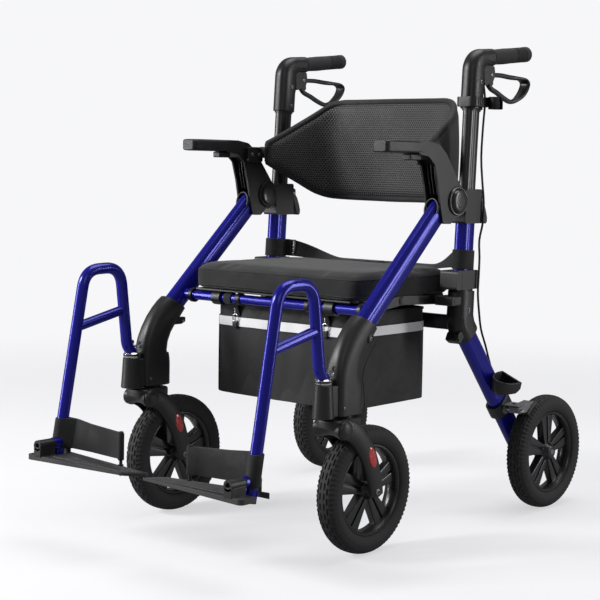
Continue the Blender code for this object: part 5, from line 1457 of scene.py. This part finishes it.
@dataclass
class Brakes:
    """The rear brakes, their brackets and the cables that work them."""

    pivot: Pair = (0.272386, 0.216197)

    def near(self, reach: float, degrees: float) -> Pair:
        """The (y, z) point this far outside the rear tread, at an angle about the axle."""
        return arc(REAR_AXLE, WHEEL_RADIUS + reach, degrees, degrees, 1)[0]

    def build(self) -> None:
        """Builds both brackets, shoes and cables."""
        down = (leg(0.112) - leg(0.372)).normalized()
        point = leg(0.222)
        ring = carved(swept([point - down * 0.015, point + down * 0.015], 0.039, 0.055, 48, 3.0),
                      [swept([point - down * 0.03, point + down * 0.03], 0.0305, 0.0465, 48, TUBE_SQUARE)],
                      0.0014)
        outer = FRAME_X + 0.0195
        y, z = self.pivot
        boss = turned([(-0.0035, 0.0105), (0.0018, 0.0105), (0.0025, 0.0095), (0.0025, 0.004)],
                      at(self.pivot, outer), X, 36)
        fold = lofted([[at((y + a, z + b), x) for a, b in (
            (-0.012, 0.009), (-0.012, 0.0104), (0.02, 0.0124), (0.02, 0.011))]
            for x in (outer - 0.002, REAR_X + 0.015)])
        pin = bar(self.pivot, outer - 0.002, REAR_X + 0.0195, 0.0035, 20, 0.0006)
        stop = rod((0.246, 0.274, 0.256), (0.246, 0.2855, 0.2462), 0.0042, 20, 0.0006)
        make_pair("brake_mount", [
            (MOULDED, ring), (DARK_STEEL, boss), (STEEL, softened(fold, 0.0004, 2, 30.0)),
            (CHROME, pin, stop), (MOULDED, screw((REAR_X - 0.006, y + 0.004, z + 0.0113), Z, 0.0044))],
            "rear_frame", "brake_bracket")
        lever = plate(rounded([(y - 0.0075, z - 0.006), (y - 0.007, z + 0.007), (y + 0.008, z + 0.0085),
                               self.near(0.0105, 118.5), self.near(0.006, 118.0), self.near(0.006, 131.5)],
                              0.003), REAR_X - 0.012, REAR_X + 0.012, 0.0008)
        pad = plate([*arc(REAR_AXLE, 0.1197, 117, 134, 12), *arc(REAR_AXLE, 0.1257, 134, 117, 12)],
                    REAR_X - 0.016, REAR_X + 0.016, 0.0008)
        make_pair("brake_shoe_arm", [(DARK_STEEL, lever), (GREY_MOULDED, pad)], "brake_shoe", "brake_shoe")
        for side in Side:
            self.cable(side)

    def cable(self, side: Side) -> None:
        """One cable, from the lever's bracket down the post and leg to the brake.

        Args:
            side: The side that it is on.
        """
        path = smooth([(side.value * x, y, z) for x, y, z in (
            (0.256, 0.197, 0.8738), (0.262, 0.194, 0.84), (0.264, 0.186, 0.79), (0.264, 0.182, 0.73),
            (0.27, 0.179, 0.68), (0.2765, 0.176, 0.64), (0.2765, 0.174, 0.6), (0.271, 0.171, 0.565),
            (0.2772, 0.164, 0.53), (0.279, 0.16, 0.495), (0.2785, 0.159, 0.46), (0.274, 0.17, 0.425),
            (0.262, 0.195, 0.385), (0.256, 0.22, 0.35), (0.25, 0.248, 0.305), (0.246, 0.2839, 0.2481))], 3)
        made = make(f"brake_cable_housing_{side.word}", [(MOULDED, piped(path, 0.0022, 10))], "rear_frame",
                    [f"brake_cable_{side.word}"])
        freed(made)
        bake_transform(made)


@dataclass
class Backrest:
    """The padded back panel: spacer mesh in a bound edge, with plain cloth behind."""

    thick: float = 0.017
    rows: int = 22

    def build(self) -> None:
        """Builds the panel, its binding and its end tabs."""
        stations = [
            (-0.215, 0.07, 0.713, 0.752), (-0.2085, 0.108, 0.695, 0.77), (-0.1985, 0.15, 0.674, 0.793),
            (-0.187, 0.188, 0.654, 0.815), (-0.17, 0.213, 0.644, 0.834), (-0.145, 0.227, 0.641, 0.8435),
            (-0.105, 0.232, 0.64, 0.8445), (-0.05, 0.234, 0.6395, 0.8448), (0.0, 0.2345, 0.639, 0.845)]
        stations += [(-x, y, low, high) for x, y, low, high in reversed(stations[:-1])]
        lows = smooth([(x, y, low) for x, y, low, _ in stations], 5)
        highs = smooth([(x, y, high) for x, y, _, high in stations], 5)
        last = len(lows) - 1
        grid = []
        for i, (low, high) in enumerate(zip(lows, highs)):
            along = lows[min(i + 1, last)] - lows[max(i - 1, 0)]
            out = Vector((-along.y, along.x, 0)).normalized()
            ends = min(i, last - i) * 0.008
            column = []
            for k in range(self.rows + 1):
                share = k / self.rows
                edge = min(share, 1 - share) * (high - low).length
                swell = math.sqrt(ramp(min(edge, ends), 0.012))
                belly = 0.0035 * math.sin(math.pi * share) * min(ends / 0.04, 1.0)
                column.append((low.lerp(high, share), out, self.thick / 2 * swell * 0.9 + 0.0012 + belly))
            grid.append(column)
        rim = [c[0][0] for c in grid] + [p for p, _, _ in grid[-1][1:-1]]
        rim += [c[-1][0] for c in reversed(grid)] + [p for p, _, _ in reversed(grid[0][1:-1])]
        tabs = [block((x - 0.008, 0.056, 0.721), (x + 0.008, 0.07, 0.745), 0.0018) for x in (-0.218, 0.218)]
        made = make("back_panel", [(SPACER, self.face(grid, -1)), (BAG_CLOTH, self.face(grid, 1)),
                                   (PIPING, piped(rim, 0.0068, 14, True)), (MOULDED, *tabs)],
                    "front_frame", ["backrest"])

    def face(self, grid: Sequence[Sequence[tuple]], way: int) -> Mesh:
        """One face of the panel.

        Args:
            grid: Columns of (middle, outward direction, half thickness).
            way: 1 for the rear face, -1 for the one against the user's back.

        Returns:
            The mesh.
        """
        bm = bmesh.new()
        made = [[bm.verts.new(p + out * (way * half)) for p, out, half in column] for column in grid]
        for first, second in zip(made, made[1:]):
            for a, b, c, d in zip(first, first[1:], second[1:], second):
                bm.faces.new((a, b, c, d) if way < 0 else (d, c, b, a))
        return meshed(bm)


@dataclass
class Seat:
    """The padded seat and the board that carries it."""

    half: float = 0.226
    front: float = -0.152
    rear: float = 0.166
    base: float = 0.4573
    top: float = 0.503
    most_swell: float = 0.007

    def build(self) -> None:
        """Builds the cushion and the board."""
        mesh = self.block_of_foam()
        mesh = self.puffed(mesh)
        cushion = make("seat_pad", [(SEAT_CLOTH, mesh), (PIPING, *self.seams(mesh))], "seat",
                       ["seat_cushion"], crease=80.0)
        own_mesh(cushion)
        base = self.base
        board = level_plate(rounded([(-0.208, -0.118), (0.208, -0.118), (0.208, 0.147), (-0.208, 0.147)],
                                    0.014), base - 0.0063, base - 0.0003, 0.0016)
        lip = block((-0.205, -0.144, base - 0.004), (0.205, -0.117, base - 0.0004), 0.0008)
        parts = [(MOULDED, board, lip)]
        for x in (-0.15, 0.15):
            bore = bar(ROD, x - 0.02, x + 0.02, 0.0099, 36)
            clip = carved(bar(ROD, x - 0.012, x + 0.012, 0.0148, 36), [bore], 0.0014, 3, 50.0)
            foot = block((x - 0.011, ROD[0], base - 0.0063), (x + 0.011, -0.1, base - 0.0008), 0.001)
            parts += [(MOULDED, clip, foot), (STEEL, screw((x, -0.108, base - 0.0063), -Z, 0.004))]
        ribs = [block((x - 0.001, -0.1, base - 0.01), (x + 0.001, 0.13, base - 0.006), 0.0004)
                for x in (-0.12, -0.04, 0.04, 0.12)]
        make("seat_board", [*parts, (MOULDED, *ribs)], "seat", ["seat_pan"])

    def block_of_foam(self) -> Mesh:
        """The cushion before it is stuffed: a slab with rounded edges and a low crown."""
        inset = 0.003
        centre, half_y = (self.front + self.rear) / 2, (self.rear - self.front) / 2 - inset
        half_x = self.half - inset
        base, top = self.base, self.top
        return lofted([oval(Vector((0, centre, z)), X, Y, 2 * (half_x - pull), 2 * (half_y - pull), 160, 14.0)
                       for z, pull in (
                           (base, 0.01), (base + 0.0014, 0.0042), (base + 0.005, 0.001), (base + 0.012, 0.0),
                           (top - 0.016, 0.0), (top - 0.0085, 0.0008), (top - 0.004, 0.004),
                           (top - 0.0015, 0.0095), (top - 0.0004, 0.02), (top, 0.06))])

    def puffed(self, mesh: Mesh) -> Mesh:
        """The slab after its cloth is blown out a little by the foam.

        Args:
            mesh: The slab.

        Returns:
            The stuffed cushion.
        """
        scene = bpy.context.scene
        work = shown("foam", mesh)
        remesh = work.modifiers.new("even", "REMESH")
        remesh.mode, remesh.voxel_size = "VOXEL", 0.0055
        bpy.context.view_layer.update()
        even = bpy.data.meshes.new_from_object(work.evaluated_get(bpy.context.evaluated_depsgraph_get()))
        work.modifiers.clear()
        work.data = even
        rest = [v.co.copy() for v in even.vertices]
        cloth = work.modifiers.new("cloth", "CLOTH").settings
        cloth.quality = 5
        cloth.tension_stiffness = cloth.compression_stiffness = 30
        cloth.use_pressure = True
        cloth.uniform_pressure_force = 4.0
        cloth.effector_weights.gravity = 0.0
        for number in range(1, 21):
            scene.frame_set(number)
        moved = bpy.data.meshes.new_from_object(work.evaluated_get(bpy.context.evaluated_depsgraph_get()))
        scene.frame_set(1)
        for vert, start in zip(moved.vertices, rest):
            step = vert.co - start
            if step.length > self.most_swell:
                step *= self.most_swell / step.length
            place = start + step
            place.z = max(place.z, self.base)
            vert.co = place
        bpy.data.objects.remove(work, do_unlink=True)
        bm = bmesh.new()
        bm.from_mesh(moved)
        bmesh.ops.smooth_vert(bm, verts=bm.verts, factor=0.5, use_axis_x=True, use_axis_y=True,
                              use_axis_z=True)
        bmesh.ops.subdivide_edges(bm, edges=bm.edges[:], cuts=1, use_grid_fill=True, smooth=1.0)
        return finished(bm)

    def seams(self, mesh: Mesh) -> list[Mesh]:
        """The stitched seams round the top and bottom of the cushion's side wall.

        Args:
            mesh: The cushion.

        Returns:
            The seams.
        """
        bm = bmesh.new()
        bm.from_mesh(mesh)
        tree = BVHTree.FromBMesh(bm)
        bm.free()
        centre_y = (self.front + self.rear) / 2
        made = []
        for z, pull in ((self.top - 0.0035, 0.003), (self.base + 0.004, 0.002)):
            path = []
            for p in oval(Vector((0, centre_y, z)), X, Y, 2 * (self.half - pull),
                          self.rear - self.front - 2 * pull, 180, 14.0):
                found, normal, _, _ = tree.find_nearest(p)
                path.append(found + normal * 0.0002)
            made.append(piped(path, 0.0011, 8, True))
        return made


@dataclass
class Bag:
    """The under-seat bag: sagging cloth walls, a pale band, a bound rim and its hangers."""

    half: float = 0.185
    front: float = -0.112
    rear: float = 0.123
    base: float = 0.248
    top: float = 0.43
    wall: float = 0.0016
    levels: int = 30

    def build(self) -> None:
        """Builds the bag."""
        heights = [self.base + (self.top - self.base) * k / self.levels for k in range(self.levels + 1)]
        outer, inner = ([self.ring(z, inset) for z in heights] for inset in (0.0, self.wall))
        floor = [[Vector((p.x * s, (p.y + 0.002) * s - 0.002, self.base + 0.003 * (1 - s))) for p in outer[0]]
                 for s in (0.2, 0.6, 0.9)]
        inside_floor = [[p + Z * self.wall for p in ring] for ring in reversed(floor)]
        parts = [(BAG_CLOTH, lofted([*floor, *outer, *reversed(inner), *inside_floor]))]
        for low, high, finish, off in ((0.383, 0.4015, BAND, 0.0016), (0.3816, 0.3832, PIPING, 0.0018),
                                       (0.4013, 0.403, PIPING, 0.0018), (0.425, 0.43, PIPING, 0.0016)):
            parts.append((finish, lofted([self.ring(z, -grow) for z, grow in (
                (low, 0.0), (low + 0.0003, off), (high - 0.0003, off), (high, 0.0))], capped=False)))
        for x in (-0.182, 0.182):
            for y in (self.front + 0.003, self.rear - 0.003):
                line = [self.near(x, y, self.base + 0.002 + 0.0125 * k) for k in range(13)]
                parts.append((PIPING, piped(line, 0.0016, 8)))
        parts.append((PIPING, piped([p + Z * 0.0008 for p in outer[0]], 0.0017, 8, True)))
        made = make("carry_bag", parts + self.hangers(), "front_frame", ["bag"], crease=70.0)
        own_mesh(made)

    def near(self, x: float, y: float, z: float) -> Vector:
        """The point of the bag's wall at this height that is nearest to (x, y)."""
        return min(self.ring(z, -0.0006), key=lambda p: (p.x - x) ** 2 + (p.y - y) ** 2)

    def ring(self, z: float, inset: float) -> list[Vector]:
        """The bag's outline at one height, with its folds and its sag.

        Args:
            z: The height.
            inset: How far inside the outer face.

        Returns:
            The outline's points.
        """
        depth = (self.top - z) / (self.top - self.base)
        wide, deep = self.half - 0.004, (self.rear - self.front) / 2 - 0.0035
        centre = (self.rear + self.front) / 2
        swell = 0.003 * math.sin(math.pi * min(depth * 1.05, 1.0))
        ring = []
        for p in oval(Vector((0, centre, z)), X, Y, 2 * wide, 2 * deep, 200, 18.0):
            u, v = p.x / wide, (p.y - centre) / deep
            fold = 0.0011 * math.sin(u * 9.0 + 1.3) * math.sin(depth * 2.6)
            fold += 0.0008 * math.sin(u * 21.0 + depth * 3)
            side = 0.0022 * math.sin(v * 3.1 + 0.6) * math.sin(depth * 3.0)
            if abs(v) > abs(u):
                y = p.y + math.copysign((swell + fold) * (1 - abs(u) ** 6) - inset, v)
                ring.append(Vector((p.x * (1 - inset / wide), y, z - 0.0012 * (1 - u * u) * depth)))
            else:
                x = p.x + math.copysign((swell * 0.6 + side) * (1 - abs(v) ** 6) - inset, u)
                ring.append(Vector((x, centre + (p.y - centre) * (1 - inset / deep), z)))
        return ring

    def hangers(self) -> list[tuple]:
        """The straps, rings and clips that hang the bag from the cross rod."""
        parts = []
        y, z, front = *ROD, self.front
        for x in (-0.12, 0.12):
            path = [(front + 0.001, 0.402), (y + 0.0105, 0.426), *arc((y, z), 0.0113, -70, 250, 22)]
            tape = swept([at(p, x) for p in path], 0.019, 0.0014, 16, 6.0)
            ring = [Vector((x + 0.0075 * math.cos(a), front - 0.003, 0.4 + 0.0075 * math.sin(a)))
                    for a in [math.tau * k / 24 for k in range(24)]]
            clip = block((x - 0.0065, front - 0.0062, 0.38), (x + 0.0065, front - 0.0004, 0.3935), 0.0016)
            link = rod((x, front - 0.0034, 0.4085), (x, front - 0.0034, 0.424), 0.0026, 12, 0.0006)
            parts += [(WEBBING, tape), (CHROME, piped(ring, 0.0013, 10, True)), (MOULDED, clip),
                      (CHROME, link)]
        return parts


@dataclass
class Belts:
    """The lap belt: wraps on both posts, a slider, sagging webbing and a flat buckle."""

    low: float = 0.5075
    high: float = 0.546

    def build(self) -> None:
        """Builds both halves of the belt."""
        low, high = self.low, self.high
        wrap = carved(swept([post(low + 0.0004), post(high - 0.0004)], 0.0356, 0.0516, 56, TUBE_SQUARE),
                      [swept([post(low - 0.02), post(high + 0.02)], 0.0305, 0.0465, 56, TUBE_SQUARE)],
                      0.0008, 2)
        line = smooth([(x, y, 0) for x, y in (
            (0.242, 0.152), (0.228, 0.1575), (0.216, 0.162), (0.18, 0.1735), (0.13, 0.177), (0.06, 0.1775),
            (0.001, 0.178))], 6)
        rings = []
        for p in line:
            drop = eased(0.236 - p.x, 0.115)
            under, over, lean = low + 0.0012 - 0.01 * drop, high - 0.001 - 0.0375 * drop, 0.033 * drop
            rings.append([Vector((p.x, p.y + y, z)) for y, z in (
                (0.0, under), (0.0018, under), (0.0018 + lean, over), (lean, over))])
        slider = [block((x, 0.156, low + 0.003), (x + 0.0025, 0.166, high - 0.002), 0.0008)
                  for x in (0.217, 0.2235)]
        slider += [block((0.217, 0.156, z), (0.226, 0.166, z + 0.003), 0.0008)
                   for z in (high - 0.006, high - 0.033)]
        make_pair("belt_wrap", [(WEBBING, wrap), (CHROME, slider[0]), (MOULDED, *slider[1:])], "rear_frame")
        pair = make_pair("lap_belt", [(WEBBING, lofted(rings))], "rear_frame", "seat_belt")
        for side, belt in zip(Side, pair):
            freed(belt)
            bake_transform(belt)
        buckle = block((-0.044, 0.18, 0.4985), (0.01, 0.208, 0.5065), 0.003)
        button = block((-0.035, 0.183, 0.506), (0.001, 0.205, 0.508), 0.0012)
        make("belt_buckle", [(MOULDED, buckle), (RIM_PLASTIC, button)], "front_frame")


@dataclass
class StickHolder:
    """The clip and the tray that hold a walking stick on the left."""

    clip_low: float = 0.8245
    clip_high: float = 0.849
    tray_base: float = 0.2535
    tray_rim: float = 0.295
    wall: float = 0.0028

    def build(self) -> None:
        """Builds the clip on the handle and the tray on the leg."""
        low, high = self.clip_low, self.clip_high
        y = post((low + high) / 2).y
        plan = rounded([(FRAME_X + a, y + b) for a, b in (
            (-0.0212, -0.028), (0.026, -0.028), (0.026, 0.031), (-0.0212, 0.031))], 0.014)
        bore = swept([post(low - 0.02), post(high + 0.02)], 0.0376, 0.0506, 48, 2.4)
        body = carved(level_plate(plan, low + 0.004, high - 0.001, 0.0), [bore], 0.0012, 2, 50.0)
        x, back = FRAME_X + 0.0365, y + 0.03
        hook = carved(turned([(low, 0.0145), (high, 0.0145)], (x, back, 0), Z, 48),
                      [turned([(low - 0.01, 0.011), (high + 0.01, 0.011)], (x, back, 0), Z, 48),
                       block((x, y + 0.024, low - 0.01), (x + 0.0235, y + 0.036, high + 0.01), 0.0)],
                      0.001, 2, 50.0)
        ribs = [block((FRAME_X + 0.0255, y - 0.015 + 0.008 * k, low + 0.005),
                      (FRAME_X + 0.027, y - 0.012 + 0.008 * k, high - 0.002), 0.0005) for k in range(4)]
        make("stick_clip", [(MOULDED, body, hook, *ribs)], "handle_left", ["cane_clip"])
        base, rim, wall = self.tray_base, self.tray_rim, self.wall
        outer, inner = (lofted([[self.sloped(x, y, z) for x, y in self.plan(inset + wall * k)]
                                for z, inset in ((base + wall * k, 0.009), (base + 0.002 + wall * k, 0.007),
                                                 (base + 0.01 + 0.0005 * k, 0.002), (rim + 0.02 * k, 0.0))])
                        for k in (0, 1))
        tray = carved(outer, [inner], 0.0011, 3, 50.0)
        lug = block((FRAME_X + 0.0154, 0.226, 0.256), (FRAME_X + 0.019, 0.256, 0.288), 0.001)
        lip = piped([self.sloped(x, y, rim - 0.001) for x, y in self.plan(0.001)], 0.0018, 10, True)
        make("stick_tray", [(MOULDED, tray, lug, lip)], "rear_frame", ["cane_cup"])

    def sloped(self, x: float, y: float, z: float) -> Vector:
        """This place on the tray, whose rim falls away from the leg."""
        return Vector((x, y, z - 0.02 * ramp(x - FRAME_X - 0.0156, 0.045) * ramp(z - 0.262, 0.033)))

    def plan(self, inset: float) -> list[Pair]:
        """The tray's outline: straight behind and curved in front."""
        flat, inner = 0.262 - inset, FRAME_X + 0.0156 + inset
        outer, front = 0.3185 - inset, 0.204 + inset
        centre, half = (inner + outer) / 2, (outer - inner) / 2
        return [(centre - half * math.cos(a), flat - (flat - front) * math.sin(a))
                for a in [math.pi * k / 36 for k in range(37)]]


@dataclass
class Rails:
    """The two-leaf folding rails under the seat."""

    x: float = 0.2163
    thick: float = 0.0032
    knuckle: Pair = (-0.0126, 0.452)

    def build(self) -> None:
        """Builds the rear and front leaves on both sides."""
        low, high = self.x, self.x + self.thick
        rear = plate([*arc(RAIL_PIVOT, 0.009, -85, 85, 16), *arc(self.knuckle, 0.009, 95, 265, 16)],
                     low, high, 0.0009, 2)
        head = bar(RAIL_PIVOT, low + 0.0004, low - 0.0014, 0.0052, 24, 0.0006)
        make_pair("rear_rail", [(ANODISED, rear), (MOULDED, head)], "rear_link", "rear_link")
        low, high = high + 0.0004, high + 0.0004 + self.thick
        front = plate([*arc(self.knuckle, 0.009, -85, 85, 16), *arc(ROD, 0.0142, 125, 235, 16)],
                      low, high, 0.0009, 2)
        collar = bar(ROD, low, high + 0.006, 0.0145, 36, 0.001)
        cap = bar(self.knuckle, high - 0.001, high + 0.003, 0.0064, 28, 0.001)
        boss = bar(self.knuckle, high - 0.0004, high + 0.0016, 0.0088, 28, 0.0006)
        make_pair("front_rail", [(ANODISED, front), (MOULDED, collar, cap, boss)], "front_link", "front_link")


@dataclass
class Studio:
    """The pale floor, the soft lamps and the camera."""

    place: tuple[float, float, float] = (1.95668, -2.19189, 0.71031)
    azimuth: float = 38.2517
    elevation: float = 2.2254
    roll: float = 1.0
    lens: float = 87.7
    shift: Pair = (-0.1826, -0.1293)
    backdrop: Colour = (0.93, 0.93, 0.945)

    def build(self) -> None:
        """Builds the floor, the world, the lamps and the camera."""
        self.camera()
        self.floor()
        self.world()
        self.lamps()

    def lamps(self) -> None:
        """The soft rectangular lamps, each turned to the chair's middle."""
        for name, place, wide, high, power in (
                ("key", (-1.6, -2.7, 2.05), 0.8, 0.8, 85.0),
                ("left_strip", (-2.3, -2.0, 0.9), 0.4, 1.8, 36.0),
                ("right_strip", (2.2, 1.6, 0.9), 0.4, 1.8, 21.0),
                ("fill", (2.9, -1.6, 1.9), 1.4, 1.4, 8.0),
                ("top", (0.2, 0.6, 3.0), 2.0, 2.0, 42.0)):
            data = bpy.data.lights.new(name, "AREA")
            data.shape = "RECTANGLE"
            data.size, data.size_y, data.energy = wide, high, power
            lamp = shown(name, data)
            lamp.location = place
            lamp.rotation_euler = (Vector((0, 0, 0.45)) - lamp.location).to_track_quat("-Z", "Y").to_euler()

    def camera(self) -> None:
        """The camera at the photograph's angle."""
        a, e, r = (math.radians(v) for v in (self.azimuth, self.elevation, self.roll))
        back = Vector((math.sin(a) * math.cos(e), -math.cos(a) * math.cos(e), math.sin(e)))
        right = Vector((math.cos(a), math.sin(a), 0))
        up = back.cross(right)
        side = right * math.cos(r) + up * math.sin(r)
        head = up * math.cos(r) - right * math.sin(r)
        data = bpy.data.cameras.new("studio_camera")
        data.lens, data.sensor_width = self.lens, 36.0
        data.shift_x, data.shift_y = self.shift
        data.clip_end = 60.0
        made = shown("studio_camera", data)
        turn = Matrix((side, head, back)).transposed().to_4x4()
        made.matrix_world = Matrix.Translation(Vector(self.place)) @ turn
        bpy.context.scene.camera = made

    def floor(self) -> None:
        """A pale round floor that fades into the backdrop."""
        count, level = 96, -0.0006
        turns = [math.tau * i / count for i in range(count)]
        bm = bmesh.new()
        rings = [[bm.verts.new((r * math.cos(a), r * math.sin(a), level)) for a in turns]
                 for r in (0.6, 2.0, 3.5, 5.0)]
        bm.faces.new(rings[0])
        for first, second in zip(rings, rings[1:]):
            for i in range(count):
                j = (i + 1) % count
                bm.faces.new((first[i], second[i], second[j], first[j]))
        bmesh.ops.recalc_face_normals(bm, faces=bm.faces)
        mesh = meshed(bm, "studio_floor")
        made = shown("studio_floor", mesh)
        material = bpy.data.materials.new("studio_floor")
        material.use_nodes = True
        graph = Graph(material.node_tree)
        shader = material.node_tree.nodes["Principled BSDF"]
        shader.inputs["Roughness"].default_value = 0.9
        shader.inputs["Specular IOR Level"].default_value = 0.1
        where = graph.node("TexCoord").outputs["Object"]
        mottle = graph.noise(where, 3.0)
        shader.inputs["Emission Color"].default_value = (*self.backdrop, 1.0)
        path = graph.node("LightPath")
        seen, glossy = path.outputs["Is Camera Ray"], path.outputs["Is Glossy Ray"]
        pale = graph.mix(mottle, (0.36, 0.36, 0.37), (0.38, 0.38, 0.39))
        graph.feed(shader.inputs["Base Color"], graph.mix(glossy, pale, (0.1, 0.1, 0.11)))
        graph.feed(shader.inputs["Emission Strength"],
                   graph.plus(graph.times(seen, 0.62), graph.times(glossy, 0.22)))
        reach = graph.node("VectorMath", {0: where}, operation="LENGTH").outputs["Value"]
        fade = graph.span(reach, 1.1, 3.4)
        clear = graph.node("BsdfTransparent")
        blend = graph.node("MixShader", {0: fade, 1: shader.outputs[0], 2: clear.outputs[0]})
        output = material.node_tree.nodes["Material Output"]
        graph.feed(output.inputs["Surface"], blend.outputs[0])
        mesh.materials.append(material)

    def world(self) -> None:
        """A pale world that lights softly and shows as the backdrop."""
        world = bpy.data.worlds.new("studio")
        bpy.context.scene.world = world
        world.use_nodes = True
        graph = Graph(world.node_tree)
        shade = world.node_tree.nodes["Background"]
        path = graph.node("LightPath")
        seen = graph.math("MAXIMUM", path.outputs["Is Camera Ray"], path.outputs["Is Transmission Ray"])
        seen = graph.math("MAXIMUM", seen, graph.times(path.outputs["Is Glossy Ray"], 0.05))
        graph.feed(shade.inputs["Color"], graph.mix(seen, (0.12, 0.12, 0.125), self.backdrop))
        shade.inputs["Strength"].default_value = 1.0
        bpy.context.scene.view_settings.view_transform = "Standard"


def main() -> None:
    """Builds every sub-assembly, then the studio."""
    logging.basicConfig(level=logging.INFO, format="%(name)s: %(message)s")
    for maker in (Studio, SideFrames, Wheels, Casters, Castings, Footrests, KneeCovers, Hubs, Armrests,
                  Handles, Brakes, Backrest, Seat, Bag, Belts, StickHolder, Rails):
        maker().build()
        LOG.info("%s is built", maker.__name__)


if __name__ == "__main__":
    main()
